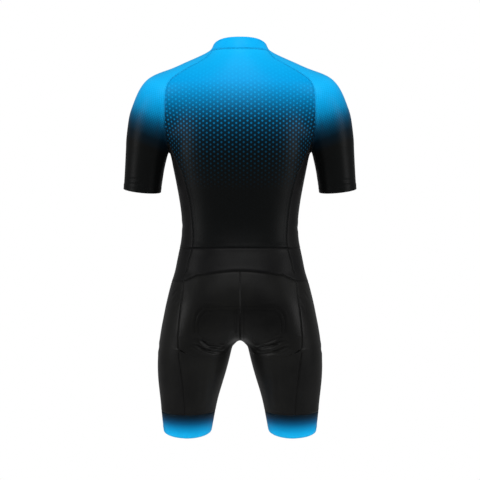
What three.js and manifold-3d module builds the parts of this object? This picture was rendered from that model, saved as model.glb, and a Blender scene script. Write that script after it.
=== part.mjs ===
// Short-sleeved triathlon suit with a zipped front, in the filled-out shape it has when worn.
// Each cut piece of cloth is its own thin wall, 0.3 mm from its neighbours at the seams.
// Millimetres. +X is the wearer's left, -Y the front and +Z up.
// The origin is the middle of the neck, level with the collar seam at the centre back.

import * as THREE from "three";
import { mergeVertices } from "three/addons/utils/BufferGeometryUtils.js";
import Module from "manifold-3d";

const wasm = await Module();
wasm.setup();

// Cloth and seams
const WALL = 1.5;
const SEAM_GAP = 0.3;

// Collar: heights from the centre back, and how far they drop towards the front
const COLLAR_SEAM_DROP = 45;
const COLLAR_HEIGHT_BACK = 26;
const COLLAR_TOP_DROP = 47;
const NECK_CENTRE_Y = -6;

// Angles round the neck, from the centre back, where the sleeve's edges meet the collar
const NECK_BACK_ANGLE = 65;
const NECK_FRONT_ANGLE = 118;

// Heights of the seams and edges that run round the suit
const WAIST_FRONT = -480;
const CROTCH = -694;
const LEG_TOP = -560;
const BAND_SEAM = -866;
const LEG_HEM = -913.5;
const HEM_TILT = 0.17;

// Where the shorts' seams pass: heights on the centre seam behind and in front, the angles below
// level at which it turns under the crotch, and heights on the inside leg
const CENTRE_SEAM = { back: [-545, -575, -605, -632], front: [-566, -585, -605, -632] };
const CROTCH_TURN = [12, 30, 48, 64, 78];
const INSIDE_LEG = [-706, -724, -750, -780, -815, BAND_SEAM];

// Points inside the figure from which the rows of each piece are cast onto its surface. Above
// chestTop, where the figure narrows to the neck, the back and the fronts have nearer ones.
const HEARTS = {
  chestTop: -90,
  back: { waist: -40, chest: -50, neck: -20 },
  front: { waist: 40, chest: 40, neck: 10 },
  side: { x: 40, y: -8, waist: -474 },
  hip: new THREE.Vector3(60, 0, -556),
  belly: { x: 20, y: 20 },
  crotch: new THREE.Vector3(0, 3, -640),
  thigh: 0.8,
};

// The shorts' hearts lie at a share of the leg's own middle from the centre line. Within some
// rows of the crotch they are higher and nearer the centre.
const SHORTS_HEART = { seat: 0.5, leg: 0.9, rise: 40, rows: 4 };

// Sleeve hearts lean back from this y, more so further out, and start this share of a row late
// under the arm
const SLEEVE_LEAN = { start: -2, perMm: -0.03, late: 0.3 };

// Zip: the fronts end this far from the centre line, and the tapes lie under them
const ZIP_HALF_OPENING = 4;
const NECK_FRONT_RADIUS = 60;
const TAPE_HALF_WIDTH = 12;
const TAPE_THICKNESS = 0.9;
const TAPE_DEPTH = WALL + 2 * SEAM_GAP;
const COIL_HALF_WIDTH = 1.9;
const COIL_THICKNESS = 1.2;

// Slider and its pull tab, in the slider's own directions: across, out of the cloth, and up
const SLIDER = { width: 6.6, height: 11, thickness: 3.2, below: 9, rounding: 1.6 };
const BRIDGE = { width: 2.2, height: 7, rise: 3.2, bar: 1, root: 1, rounding: 0.5, floor: 0.01 };
const PULL = {
  barSides: 12,
  width: 5.6, length: 26, thickness: 1.4, rounding: 1, eyeWidth: 3.2, eyeLength: 4.2, clearance: 0.35,
};

// Seat pad
const PAD_THICKNESS = 4;
const PAD_BEND = 2.7;

// How far one part of the figure flows into the next
const NECK_BLEND = 26;
const SHOULDER_BLEND = 46;
const ARMPIT_BLEND = 7;
const HIP_BLEND = 40;
const CROTCH_BLEND = 58;
const END_ROUNDING = 30;

// How firmly a wall's corner stays over its own point where facets are nearly level, and how
// many walls deep a mitre may reach
const MITRE_STIFFNESS = 0.01;
const MITRE_LIMIT = 1.5;

// A table's rows as objects with the named columns.
function table(columns, rows) {
  const names = columns.split(" ");
  return rows.map((row) => Object.fromEntries(names.map((name, i) => [name, row[i]])));
}

// Level sections of the figure. mid is the y of the widest line, wide the half width, and
// back and front are the half depths behind and before that line. power 2 is an ellipse.
const NECK = table("z x mid wide back front power", [
  [70, 0, -18, 57, 56, 56, 2],
  [30, 0, -10, 59, 58, 58, 2],
  [5, 0, -5, 62, 61, 61, 2],
  [-25, 0, -1, 68, 62, 64, 2],
  [-60, 0, 0, 72, 60, 62, 2],
  [-90, 0, 0, 50, 40, 40, 2],
]);
const TRUNK = table("z x mid wide back front power", [
  [-5, 0, 0, 30, 38, 34, 2],
  [-40, 0, 2, 92, 66, 62, 2.1],
  [-80, 0, 3, 126, 83, 80, 2.2],
  [-120, 0, 3, 148, 92, 97, 2.3],
  [-170, 0, 1, 160, 98, 111, 2.4],
  [-240, 0, -3, 165, 99, 116, 2.4],
  [-312, 0, -8, 153, 94, 108, 2.3],
  [-360, 0, -12, 144.5, 90, 100, 2.3],
  [-415, 0, -14, 138.5, 88, 95, 2.3],
  [-456, 0, -12, 141.5, 92, 96, 2.3],
  [-504, 0, -8, 152, 102, 99, 2.3],
  [-552, 0, -3, 159, 112, 101, 2.3],
  [-600, 0, 1, 166, 115, 100, 2.3],
  [-638, 0, 4, 156, 104, 92, 2.2],
  [-657, 0, 5, 144, 92, 82, 2.1],
  [-672, 0, 5, 136, 80, 72, 2],
]);
const LEG = table("z x mid wide back front power", [
  [-540, 74, 6, 40, 50, 46, 2],
  [-575, 84, 6, 66, 80, 72, 2],
  [-610, 92, 7, 79, 98, 90, 2.1],
  [-650, 98, 6, 88, 103, 97, 2.1],
  [-700, 107, 3, 88, 98, 95, 2.1],
  [-740, 112.5, -1, 86.5, 92, 91, 2.1],
  [-772, 117, -4, 82.5, 86, 86, 2.1],
  [-800, 120.5, -7, 77.5, 80, 80, 2],
  [-830, 123.5, -10, 71, 73, 74, 2],
  [-860, 125.5, -13, 66.5, 68, 69, 2],
  [-890, 127, -16, 62.5, 64, 65, 2],
  [-917, 128, -19, 58, 60, 61, 2],
  [-970, 130, -24, 54, 56, 56, 2],
]);
const ARM = table("z x mid wide back front power", [
  [-96, 184, 2, 30, 36, 36, 2],
  [-120, 193, 2, 54, 56, 56, 2],
  [-140, 201, 1, 58.5, 61, 60, 2],
  [-168, 208, -1, 57.5, 61, 60, 2],
  [-197, 214, -5, 56, 59, 58, 2],
  [-226, 219.5, -9, 53.5, 56, 55, 2],
  [-254, 224.5, -13, 50, 53, 53, 2],
  [-283, 229, -17, 47.5, 51, 51, 2],
  [-312, 232.5, -21, 46, 50, 50, 2],
  [-335, 235.5, -24, 45.5, 49, 49, 2],
  [-380, 242, -30, 44, 47, 47, 2],
]);
const SHOULDER = {
  neckEnd: new THREE.Vector3(30, 0, -66),
  armEnd: new THREE.Vector3(180, 2, -120),
  neckRadius: 54,
  armRadius: 66,
};

// Seams as the back and front views show them. The figure gives the depth.
const SIDE_SEAM_BACK = table("x z", [
  [155, -256],
  [142, -278],
  [132, -302],
  [122, -338],
  [115, -374],
  [111, -412],
  [109, -445],
  [110, -468],
]);
const SIDE_SEAM_FRONT = table("x z", [
  [158, -256],
  [149, -278],
  [141, -302],
  [132, -338],
  [125, -374],
  [120, -412],
  [118, -445],
  [118, -480],
]);
const HIP_SEAM_BACK = table("x z", [
  [110, -468],
  [118, -491],
  [125, -518],
  [132, -543],
]);
const HIP_SEAM_FRONT = table("x z", [
  [118, -480],
  [124, -505],
  [130, -535],
  [137, -566],
]);
const THIGH_SEAM_BACK = table("x z", [
  [132, -543],
  [136, -592],
  [140, -628],
  [143, -664],
  [143, -694],
  [141, -724],
  [137, -755],
  [132, -792],
  [129, -833],
  [127.5, -866],
]);
const THIGH_SEAM_FRONT = table("x z", [
  [137, -566],
  [145, -600],
  [152, -645],
  [156, -694],
  [156, -740],
  [151, -800],
  [146, -866],
]);

// The sleeve's sections from the neck to the underarm: a point inside it, and where its back
// and front edges, the raglan seams, lie in the back and front views.
const RAGLAN = table("heartX heartZ backX backZ frontX frontZ", [
  [74, -62, 79, -23, 76, -40],
  [95, -74, 99, -33, 94, -55],
  [117, -85, 120, -44, 113, -71],
  [138, -96, 139, -55, 131, -89],
  [158, -107, 155, -66, 146, -108],
  [175, -118, 167, -78, 156, -127],
  [189, -131, 174, -92, 163, -146],
  [198, -147, 176.5, -110, 167, -164],
  [205, -165, 177, -132, 170, -181],
  [210, -183, 177.5, -157, 171.5, -197],
  [214, -200, 176.5, -181, 172, -210],
  [217, -214, 175, -202, 172, -220],
]);
const UNDERARM = { x: 171, y: -4, z: -188, halfAngle: 40 };
const UNDERARM_HEART = { x: 221, y: -11, z: -234 };
const SLEEVE_HEARTS = table("x y z", [
  [223.5, -13, -250],
  [226, -15, -266],
  [228.5, -17, -282],
  [231, -20, -299],
  [233.5, -22, -316],
  [235.5, -24, -334],
]);

// Arched seam across the seat, from the centre back to the side seam
const ARCH_SEAM = table("x z", [
  [0, -512],
  [30, -513.5],
  [60, -517.5],
  [90, -524.5],
  [112, -531.5],
  [124, -537],
  [132, -543],
]);

// Rows of the shorts below the arched seam, as shares of the way to the crotch and then to the
// leg band. They are close together where the cloth folds under the seat.
const ROWS_TO_CROTCH = [0, 0.2, 0.4, 0.58, 0.72, 0.82, 0.88, 0.92, 0.96, 1];
const ROWS_TO_BAND = [0.035, 0.07, 0.11, 0.17, 0.28, 0.45, 0.63, 0.81, 1];

// Folds under the seat on the back of each leg: a trough from the inner to the outer end
const FOLDS = table("innerX innerZ midX midZ outerX outerZ depth width", [
  [36, -695.5, 73, -692, 92, -678, 2.4, 5],
  [36, -707, 64, -705.5, 108, -684, 2, 5],
]);

const FOLD_END = 14;

// The pad's outline: how far round from its back edge to its front edge, and its half width
const PAD_ROWS = table("share halfWidth", [
  [0, 62],
  [0.05, 84],
  [0.14, 98],
  [0.24, 100],
  [0.36, 84],
  [0.48, 56],
  [0.6, 40],
  [0.74, 38],
  [0.88, 42],
  [0.96, 34],
  [1, 20],
]);
const PAD_BACK = -619;
const PAD_FRONT = -640;

// Columns and rows of each piece
const COLUMNS = { back: 14, side: 6, front: 6, sleeve: 16, pad: 6 };
const ROWS = { body: 9, hip: 3, collar: 2, band: 2 };

const mix = THREE.MathUtils.lerp;
const vector = (x, y, z) => new THREE.Vector3(x, y, z);
const clamp = THREE.MathUtils.clamp;
const degrees = THREE.MathUtils.degToRad;
const steps = (count) => Array.from({ length: count + 1 }, (_, i) => i / count);

// The section at height z, on a smooth curve through the table's rows.
function sectionAt(rows, z, into) {
  const last = rows.length - 1;
  let i = 0;
  while (i < last - 1 && z < rows[i + 1].z) i += 1;
  const [a, b] = [rows[i], rows[i + 1]];
  const [before, after] = [rows[Math.max(i - 1, 0)], rows[Math.min(i + 2, last)]];
  const t = clamp((a.z - z) / (a.z - b.z), 0, 1);
  const step = a.z - b.z;
  for (const name of ["x", "mid", "wide", "back", "front", "power"]) {
    const slopeA = before === a ? (b[name] - a[name]) / step : (b[name] - before[name]) / (before.z - b.z);
    const slopeB = after === b ? (b[name] - a[name]) / step : (after[name] - a[name]) / (a.z - after.z);
    into[name] =
      a[name] * (2 * t ** 3 - 3 * t ** 2 + 1) +
      slopeA * step * (t ** 3 - 2 * t ** 2 + t) +
      b[name] * (3 * t ** 2 - 2 * t ** 3) +
      slopeB * step * (t ** 3 - t ** 2);
  }
  return into;
}

// Each table read once every millimetre, because the figure is asked for its shape often.
function profile(rows) {
  const top = rows[0].z;
  const count = Math.round(top - rows[rows.length - 1].z) + 1;
  const levels = Array.from({ length: count }, (_, i) => sectionAt(rows, top - i, {}));
  const read = {};
  const sectionOf = (z) => {
    const at = clamp(top - z, 0, count - 1.001);
    const i = Math.floor(at);
    for (const name in levels[i]) read[name] = mix(levels[i][name], levels[i + 1][name], at - i);
    return read;
  };
  return Object.assign(sectionOf, { top, bottom: rows[rows.length - 1].z });
}
const PROFILES = { neck: profile(NECK), trunk: profile(TRUNK), leg: profile(LEG), arm: profile(ARM) };

// How far a point is outside a limb, in shares of the limb's own section.
function outsideShare(sectionOf, x, y, z) {
  const s = sectionOf(z);
  const across = Math.abs(x - s.x) / s.wide;
  const along = Math.abs(y - s.mid) / (y > s.mid ? s.back : s.front);
  return (across ** s.power + along ** s.power) ** (1 / s.power) - 1;
}

// The smaller of two distances, rounded where they are nearly equal.
function flowTogether(a, b, width) {
  const overlap = Math.max(width - Math.abs(a - b), 0);
  return Math.min(a, b) - overlap ** 2 / (4 * width);
}

// About how far a point is from a limb's surface, negative inside. A limb's ends are level.
function limbDistance(sectionOf, x, y, z) {
  const step = 0.5;
  const pastEnd = Math.max(z - sectionOf.top, sectionOf.bottom - z);
  const here = outsideShare(sectionOf, x, y, z);
  const slope = Math.hypot(
    outsideShare(sectionOf, x + step, y, z) - here,
    outsideShare(sectionOf, x, y + step, z) - here,
    outsideShare(sectionOf, x, y, z + step) - here,
  );
  return -flowTogether(-here / Math.max(slope / step, 0.002), -pastEnd, END_ROUNDING);
}

// Distance from the rounded limb that carries the shoulder's slope.
function shoulderDistance(x, y, z) {
  const { neckEnd, armEnd, neckRadius, armRadius } = SHOULDER;
  const along = armEnd.clone().sub(neckEnd);
  const point = new THREE.Vector3(x, y, z);
  const share = clamp(point.clone().sub(neckEnd).dot(along) / along.lengthSq(), 0, 1);
  const radius = neckRadius + share * (armRadius - neckRadius);
  return point.distanceTo(neckEnd.clone().addScaledVector(along, share)) - radius;
}

// Distance from the general figure that the suit is stretched over.
const NEAR = { neckBottom: -110, shoulderBottom: -300, armTop: -60, armBottom: -420, legTop: -480 };
function figureDistance(x, y, z) {
  const side = Math.abs(x);
  let nearest = limbDistance(PROFILES.trunk, x, y, z);
  if (z > NEAR.neckBottom) nearest = flowTogether(nearest, limbDistance(PROFILES.neck, x, y, z), NECK_BLEND);
  if (z > NEAR.shoulderBottom) nearest = flowTogether(nearest, shoulderDistance(side, y, z), SHOULDER_BLEND);
  if (z > NEAR.armBottom && z < NEAR.armTop) {
    nearest = flowTogether(nearest, limbDistance(PROFILES.arm, side, y, z), ARMPIT_BLEND);
  }
  if (z < NEAR.legTop) {
    const near = limbDistance(PROFILES.leg, side, y, z);
    const far = limbDistance(PROFILES.leg, -side, y, z);
    nearest = flowTogether(nearest, flowTogether(near, far, CROTCH_BLEND), HIP_BLEND);
  }
  return nearest;
}

// The figure's outward normal.
const NORMAL_STEP = 0.6;
function normalAt(p) {
  const e = NORMAL_STEP;
  return new THREE.Vector3(
    figureDistance(p.x + e, p.y, p.z) - figureDistance(p.x - e, p.y, p.z),
    figureDistance(p.x, p.y + e, p.z) - figureDistance(p.x, p.y - e, p.z),
    figureDistance(p.x, p.y, p.z + e) - figureDistance(p.x, p.y, p.z - e),
  ).normalize();
}

// A nearby point moved onto the figure's surface.
const SETTLE_TURNS = 8;
function settle(p) {
  const moved = p.clone();
  for (let i = 0; i < SETTLE_TURNS; i += 1) {
    moved.addScaledVector(normalAt(moved), -figureDistance(moved.x, moved.y, moved.z));
  }
  return moved;
}

// Where a ray from a point inside the figure first leaves it.
const CAST = { shareOfDistance: 0.5, shortest: 0.8, longest: 12, halvings: 24 };
function cast(from, direction) {
  const ray = direction.clone().normalize();
  const distance = (t) => figureDistance(from.x + t * ray.x, from.y + t * ray.y, from.z + t * ray.z);
  let inside = 0;
  let outside = 0;
  for (let d = distance(0); d < 0; d = distance(outside)) {
    inside = outside;
    outside += clamp(-d * CAST.shareOfDistance, CAST.shortest, CAST.longest);
  }
  for (let i = 0; i < CAST.halvings; i += 1) {
    const middle = (inside + outside) / 2;
    if (distance(middle) < 0) inside = middle;
    else outside = middle;
  }
  return from.clone().addScaledVector(ray, outside);
}

const BACKWARD = vector(0, 1, 0);
const FORWARD = vector(0, -1, 0);
const LEFTWARD = vector(1, 0, 0);
const DOWNWARD = vector(0, 0, -1);
const TRUNK_MIDDLE_Y = -6;

// A point of the back or front view, given by x and z, on the figure's surface.
const middleY = (z) => (z < LEG_TOP ? PROFILES.leg(z).mid : TRUNK_MIDDLE_Y);
const onBack = ({ x, z }) => cast(vector(x, middleY(z), z), BACKWARD);
const onFront = ({ x, z }) => cast(vector(x, middleY(z), z), FORWARD);
const mirror = (p) => vector(-p.x, p.y, p.z);

// Points at given shares of the length of the smooth line through some points, on the surface.
function along(points, shares) {
  const curve = new THREE.CatmullRomCurve3(points, false, "centripetal");
  curve.arcLengthDivisions = 400;
  return shares.map((share) => {
    if (share === 0) return points[0].clone();
    if (share === 1) return points[points.length - 1].clone();
    return settle(curve.getPointAt(share));
  });
}

// Evenly spaced points on the surface from first to last, seen from a heart inside. towards(t)
// is the way from the heart to the row, t from 0 to 1.
function evenRow(first, last, heart, towards, count) {
  const at = (t) => {
    if (t === 0) return first.clone();
    if (t === 1) return last.clone();
    return cast(heart, towards(t));
  };
  const fine = steps(count * 3).map(at);
  const reach = [0];
  for (let i = 1; i < fine.length; i += 1) reach.push(reach[i - 1] + fine[i].distanceTo(fine[i - 1]));
  return steps(count).map((share) => {
    if (share === 0 || share === 1) return at(share);
    const want = share * reach[reach.length - 1];
    const i = reach.findIndex((length) => length >= want);
    return at((i - 1 + (want - reach[i - 1]) / (reach[i] - reach[i - 1])) / (fine.length - 1));
  });
}

// A row across a piece that is less than half of what it goes round
function rowAcross(first, last, heart, count) {
  return evenRow(first, last, heart, (t) => first.clone().lerp(last, t).sub(heart), count);
}

// A row over the shoulder or round the arm, by way of its outward side. It turns once round
// the arm where first and last are one point.
function rowRound(first, last, heart, outward, across, count) {
  const axis = outward.clone().cross(across).normalize();
  const [a, b] = [first, last].map((p) => {
    const d = p.clone().sub(heart);
    const rise = d.dot(axis);
    const radius = Math.sqrt(d.lengthSq() - rise ** 2);
    return { rise, radius, angle: Math.atan2(d.dot(across), d.dot(outward)) };
  });
  if (first === last) {
    a.angle -= a.angle > 0 ? 2 * Math.PI : 0;
    b.angle = a.angle + 2 * Math.PI;
  }
  const towards = (t) => {
    const turn = mix(a.angle, b.angle, t);
    const radius = mix(a.radius, b.radius, t);
    const way = axis.clone().multiplyScalar(mix(a.rise, b.rise, t));
    way.addScaledVector(outward, radius * Math.cos(turn));
    return way.addScaledVector(across, radius * Math.sin(turn));
  };
  return evenRow(first, last, heart, towards, count);
}

// How far the cloth sinks at a point: a soft trough along each fold under the seat.
function foldDepth(p) {
  if (p.y < 0) return 0;
  const x = Math.abs(p.x);
  return FOLDS.reduce((deepest, fold) => {
    const length = fold.outerX - fold.innerX;
    const share = clamp((x - fold.innerX) / length, 0, 1);
    const bow = fold.midZ - mix(fold.innerZ, fold.outerZ, (fold.midX - fold.innerX) / length);
    const z = mix(fold.innerZ, fold.outerZ, share) + bow * 4 * share * (1 - share);
    const fade = Math.sin(Math.PI * clamp((x - fold.innerX + FOLD_END) / (length + 2 * FOLD_END), 0, 1));
    return Math.max(deepest, fold.depth * fade * Math.exp(-(((p.z - z) / fold.width) ** 2)));
  }, 0);
}

// Directions that all the pieces meeting at a point share, so that walls meet along a mitre.
// Both halves of the body count, with the right half folded over onto the left.
const facings = new Map();
const placeOf = (p) => `${Math.abs(p.x).toFixed(2)} ${p.y.toFixed(2)} ${p.z.toFixed(2)}`;
function noteFacings(grid) {
  for (let r = 0; r < grid.length - 1; r += 1) {
    for (let c = 0; c < grid[0].length - 1; c += 1) {
      const corners = [grid[r][c], grid[r][c + 1], grid[r + 1][c + 1], grid[r + 1][c]];
      const facing = corners[2].clone().sub(corners[0]).cross(corners[3].clone().sub(corners[1])).normalize();
      if (facing.dot(normalAt(corners[0].clone().lerp(corners[2], 0.5))) < 0) facing.negate();
      for (const corner of corners) {
        const place = placeOf(corner);
        if (!facings.has(place)) facings.set(place, []);
        if (corner.x > -0.01) facings.get(place).push(facing);
        if (corner.x < 0.01) facings.get(place).push(mirror(facing));
      }
    }
  }
}

// Outward from the cloth at a point, as long as moves every facet there out by 1.
function mitreAt(p) {
  const around = facings.get(placeOf(p));
  if (!around) return normalAt(p);
  const square = new THREE.Matrix3().set(0, 0, 0, 0, 0, 0, 0, 0, 0);
  const sum = vector(0, 0, 0);
  const cells = square.elements;
  for (const n of around) {
    sum.add(n);
    const parts = n.toArray();
    for (let k = 0; k < 9; k += 1) cells[k] += parts[k % 3] * parts[Math.floor(k / 3)];
  }
  for (const k of [0, 4, 8]) cells[k] += MITRE_STIFFNESS * around.length;
  const mitre = sum.applyMatrix3(square.invert()).clampLength(1, MITRE_LIMIT);
  return p.x < -0.01 ? mirror(mitre) : mitre;
}

// The way into a piece from its edge, square to the edge and to the mitre there.
function inward(edge, i, neighbour, mitre) {
  const before = edge[Math.max(i - 1, 0)];
  const after = edge[Math.min(i + 1, edge.length - 1)];
  const direction = after.clone().sub(before).cross(mitre).normalize();
  return direction.dot(neighbour.clone().sub(edge[i])) < 0 ? direction.negate() : direction;
}

// The grid with each edge drawn in by half a seam's gap.
const SHARPEST_CORNER = 0.4;
function drawnIn(grid, mitres) {
  const lastRow = grid.length - 1;
  const lastColumn = grid[0].length - 1;
  const edges = [grid.map((row) => row[0]), grid.map((row) => row[lastColumn])];
  return grid.map((row, i) =>
    row.map((p, j) => {
      const ways = [];
      const mitre = mitres[i][j];
      if (i === 0) ways.push(inward(row, j, grid[1][j], mitre));
      if (i === lastRow) ways.push(inward(row, j, grid[lastRow - 1][j], mitre));
      if (j === 0) ways.push(inward(edges[0], i, row[1], mitre));
      if (j === lastColumn) ways.push(inward(edges[1], i, row[lastColumn - 1], mitre));
      if (!ways.length) return p.clone();
      const sum = ways.reduce((total, way) => total.add(way), vector(0, 0, 0));
      const lengthen = ways.length === 2 ? Math.max(1 + ways[0].dot(ways[1]), SHARPEST_CORNER) : 1;
      return p.clone().addScaledVector(sum, SEAM_GAP / 2 / lengthen);
    }),
  );
}

// A closed wall of cloth under a grid of surface points.
function clothWall(grid, { thickness = WALL, depth = 0 } = {}) {
  const normals = grid.map((row) => row.map((p) => normalAt(p)));
  const mitres = grid.map((row) => row.map((p) => mitreAt(p)));
  const edged = drawnIn(grid, mitres);
  const top = edged.map((row, i) => row.map((p, j) => p.addScaledVector(normals[i][j], -foldDepth(p))));
  const [rows, columns] = [grid.length, grid[0].length];
  const points = [depth, depth + thickness].flatMap((below) =>
    top.flatMap((row, i) => row.map((p, j) => p.clone().addScaledVector(mitres[i][j], -below))),
  );
  const [i, j] = [rows >> 1, columns >> 1];
  const acrossWay = top[i][j].clone().sub(top[i][j - 1]);
  const facesOut = acrossWay.cross(top[i][j].clone().sub(top[i - 1][j])).dot(normals[i][j]) > 0;
  const outer = (row, column) => row * columns + column;
  const inner = (row, column) => (rows + row) * columns + column;
  const faces = [];
  const quad = (...corners) => {
    const [a, b, c, d] = facesOut ? corners : corners.toReversed();
    const split = points[a].distanceTo(points[c]) < points[b].distanceTo(points[d]);
    faces.push(...(split ? [a, b, c, a, c, d] : [b, c, d, b, d, a]));
  };
  for (let r = 0; r < rows - 1; r += 1) {
    for (let c = 0; c < columns - 1; c += 1) {
      quad(outer(r, c), outer(r, c + 1), outer(r + 1, c + 1), outer(r + 1, c));
      quad(inner(r, c), inner(r + 1, c), inner(r + 1, c + 1), inner(r, c + 1));
    }
  }
  for (let c = 0; c < columns - 1; c += 1) {
    quad(outer(0, c + 1), outer(0, c), inner(0, c), inner(0, c + 1));
    quad(outer(rows - 1, c), outer(rows - 1, c + 1), inner(rows - 1, c + 1), inner(rows - 1, c));
  }
  for (let r = 0; r < rows - 1; r += 1) {
    quad(outer(r, 0), outer(r + 1, 0), inner(r + 1, 0), inner(r, 0));
    quad(outer(r + 1, columns - 1), outer(r, columns - 1), inner(r, columns - 1), inner(r + 1, columns - 1));
  }
  return new THREE.BufferGeometry()
    .setAttribute("position", new THREE.Float32BufferAttribute(points.flatMap((p) => p.toArray()), 3))
    .setIndex(faces);
}

// The same wall on the other side of the body.
function mirrored(geometry) {
  const copy = geometry.clone().scale(-1, 1, 1);
  const index = copy.getIndex();
  for (let i = 0; i < index.count; i += 3) {
    const second = index.getX(i + 1);
    index.setX(i + 1, index.getX(i + 2));
    index.setX(i + 2, second);
  }
  return copy;
}

// Materials
const cloth = (color) => new THREE.MeshStandardMaterial({ color, roughness: 0.6, metalness: 0 });
const printedFade = cloth("#05689c");
const collarBlue = cloth("#0caff2");
const blackCloth = cloth("#141414");
const bandPrint = cloth("#0387c4");
const padFoam = new THREE.MeshStandardMaterial({ color: "#23303a", roughness: 0.9, metalness: 0 });
const zipTape = new THREE.MeshStandardMaterial({ color: "#101010", roughness: 0.8, metalness: 0 });
const zipPlastic = new THREE.MeshStandardMaterial({ color: "#0c0c0d", roughness: 0.4, metalness: 0 });
const zipMetal = new THREE.MeshStandardMaterial({ color: "#1a1a1c", roughness: 0.35, metalness: 0.6 });

const suit = new THREE.Group();
suit.name = "triathlon_suit";

function addPiece(name, geometry, material, parent = suit) {
  const mesh = new THREE.Mesh(geometry, material);
  mesh.name = name;
  parent.add(mesh);
}

// The piece on the wearer's left and its mirror image on the right.
function addPair(name, geometry, material) {
  addPiece(`${name}_left`, geometry, material);
  addPiece(`${name}_right`, mirrored(geometry), material);
}

// Height of the collar seam and of the collar's top edge at an angle from the centre back.
const forwardShare = (angle) => (1 - Math.cos(degrees(angle))) / 2;
const collarSeamHeight = (angle) => -COLLAR_SEAM_DROP * forwardShare(angle) ** 3;
const collarTopHeight = (angle) => COLLAR_HEIGHT_BACK - COLLAR_TOP_DROP * forwardShare(angle) ** 1.45;
function onNeck(angle, height) {
  const turn = degrees(angle);
  return cast(vector(0, NECK_CENTRE_Y, height), vector(Math.sin(turn), Math.cos(turn), 0));
}
const collarSeamPoint = (angle) => onNeck(angle, collarSeamHeight(angle));
const ZIP_ANGLE = 180 - THREE.MathUtils.radToDeg(Math.atan(ZIP_HALF_OPENING / NECK_FRONT_RADIUS));
const neckAngles = {
  back: steps(COLUMNS.back).map((t) => mix(-NECK_BACK_ANGLE, NECK_BACK_ANGLE, t)),
  sleeve: steps(COLUMNS.sleeve).map((t) => mix(NECK_BACK_ANGLE, NECK_FRONT_ANGLE, t)),
  front: steps(COLUMNS.front).map((t) => mix(NECK_FRONT_ANGLE, ZIP_ANGLE, t)),
};

// Edges that the pieces of the upper body share, from the waist up
const armholeBottom = steps(COLUMNS.side).map((share) => {
  const turn = degrees(mix(UNDERARM.halfAngle, -UNDERARM.halfAngle, share));
  return cast(vector(UNDERARM.x, UNDERARM.y, UNDERARM.z), vector(0, Math.sin(turn), -Math.cos(turn)));
});
const armholeBack = armholeBottom[0];
const armholeFront = armholeBottom[COLUMNS.side];
const bodyShares = steps(ROWS.body);
const sideBack = along([...SIDE_SEAM_BACK.map(onBack).reverse(), armholeBack], bodyShares);
const sideFront = along([...SIDE_SEAM_FRONT.map(onFront).reverse(), armholeFront], bodyShares);
const raglanBack = RAGLAN.map((row) => onBack({ x: row.backX, z: row.backZ }));
const raglanFront = RAGLAN.map((row) => onFront({ x: row.frontX, z: row.frontZ }));
const backHeart = vector(0, HEARTS.back.waist, sideBack[0].z);
const backWaist = rowAcross(mirror(sideBack[0]), sideBack[0], backHeart, COLUMNS.back);

// Side of the body, from the waist up to the armhole
const sideHeart = (z) => vector(HEARTS.side.x, HEARTS.side.y, z);
const sideWaist = rowAcross(sideBack[0], sideFront[0], sideHeart(HEARTS.side.waist), COLUMNS.side);
function sidePanel() {
  return sideBack.map((back, i) => {
    if (i === 0) return sideWaist;
    if (i === ROWS.body) return armholeBottom;
    const heart = sideHeart((back.z + sideFront[i].z) / 2);
    return rowAcross(back, sideFront[i], heart, COLUMNS.side);
  });
}

// Upper back: rows from the waist to the armhole, then in along the raglan seams to the neck
function backPanel() {
  const edge = [...sideBack.slice(1), ...raglanBack.toReversed()];
  const rows = edge.map((p) => {
    const heart = vector(0, p.z < HEARTS.chestTop ? HEARTS.back.chest : HEARTS.back.neck, p.z);
    return rowAcross(mirror(p), p, heart, COLUMNS.back);
  });
  return [backWaist, ...rows, neckAngles.back.map(collarSeamPoint)];
}

// Upper front, one side: from the zip to the side seam, then in along the raglan seam
const frontHeart = vector(0, HEARTS.front.waist, WAIST_FRONT);
const frontWaist = rowAcross(
  onFront({ x: 0, z: WAIST_FRONT }), sideFront[0], frontHeart, COLUMNS.front,
);
function frontPanel() {
  const edge = [...sideFront, ...raglanFront.toReversed()];
  const top = collarSeamHeight(ZIP_ANGLE);
  const rows = edge.map((p, i) => {
    const rise = Math.max(i - ROWS.body, 0) / (edge.length - ROWS.body);
    const z = i <= ROWS.body ? p.z : mix(sideFront[ROWS.body].z, top, rise);
    const zipEdge = onFront({ x: ZIP_HALF_OPENING, z });
    const y = z < HEARTS.chestTop ? HEARTS.front.chest : HEARTS.front.neck;
    return rowAcross(zipEdge, p, vector(0, y, (p.z + z) / 2), COLUMNS.front);
  });
  return [...rows, neckAngles.front.map(collarSeamPoint).reverse()];
}

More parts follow.
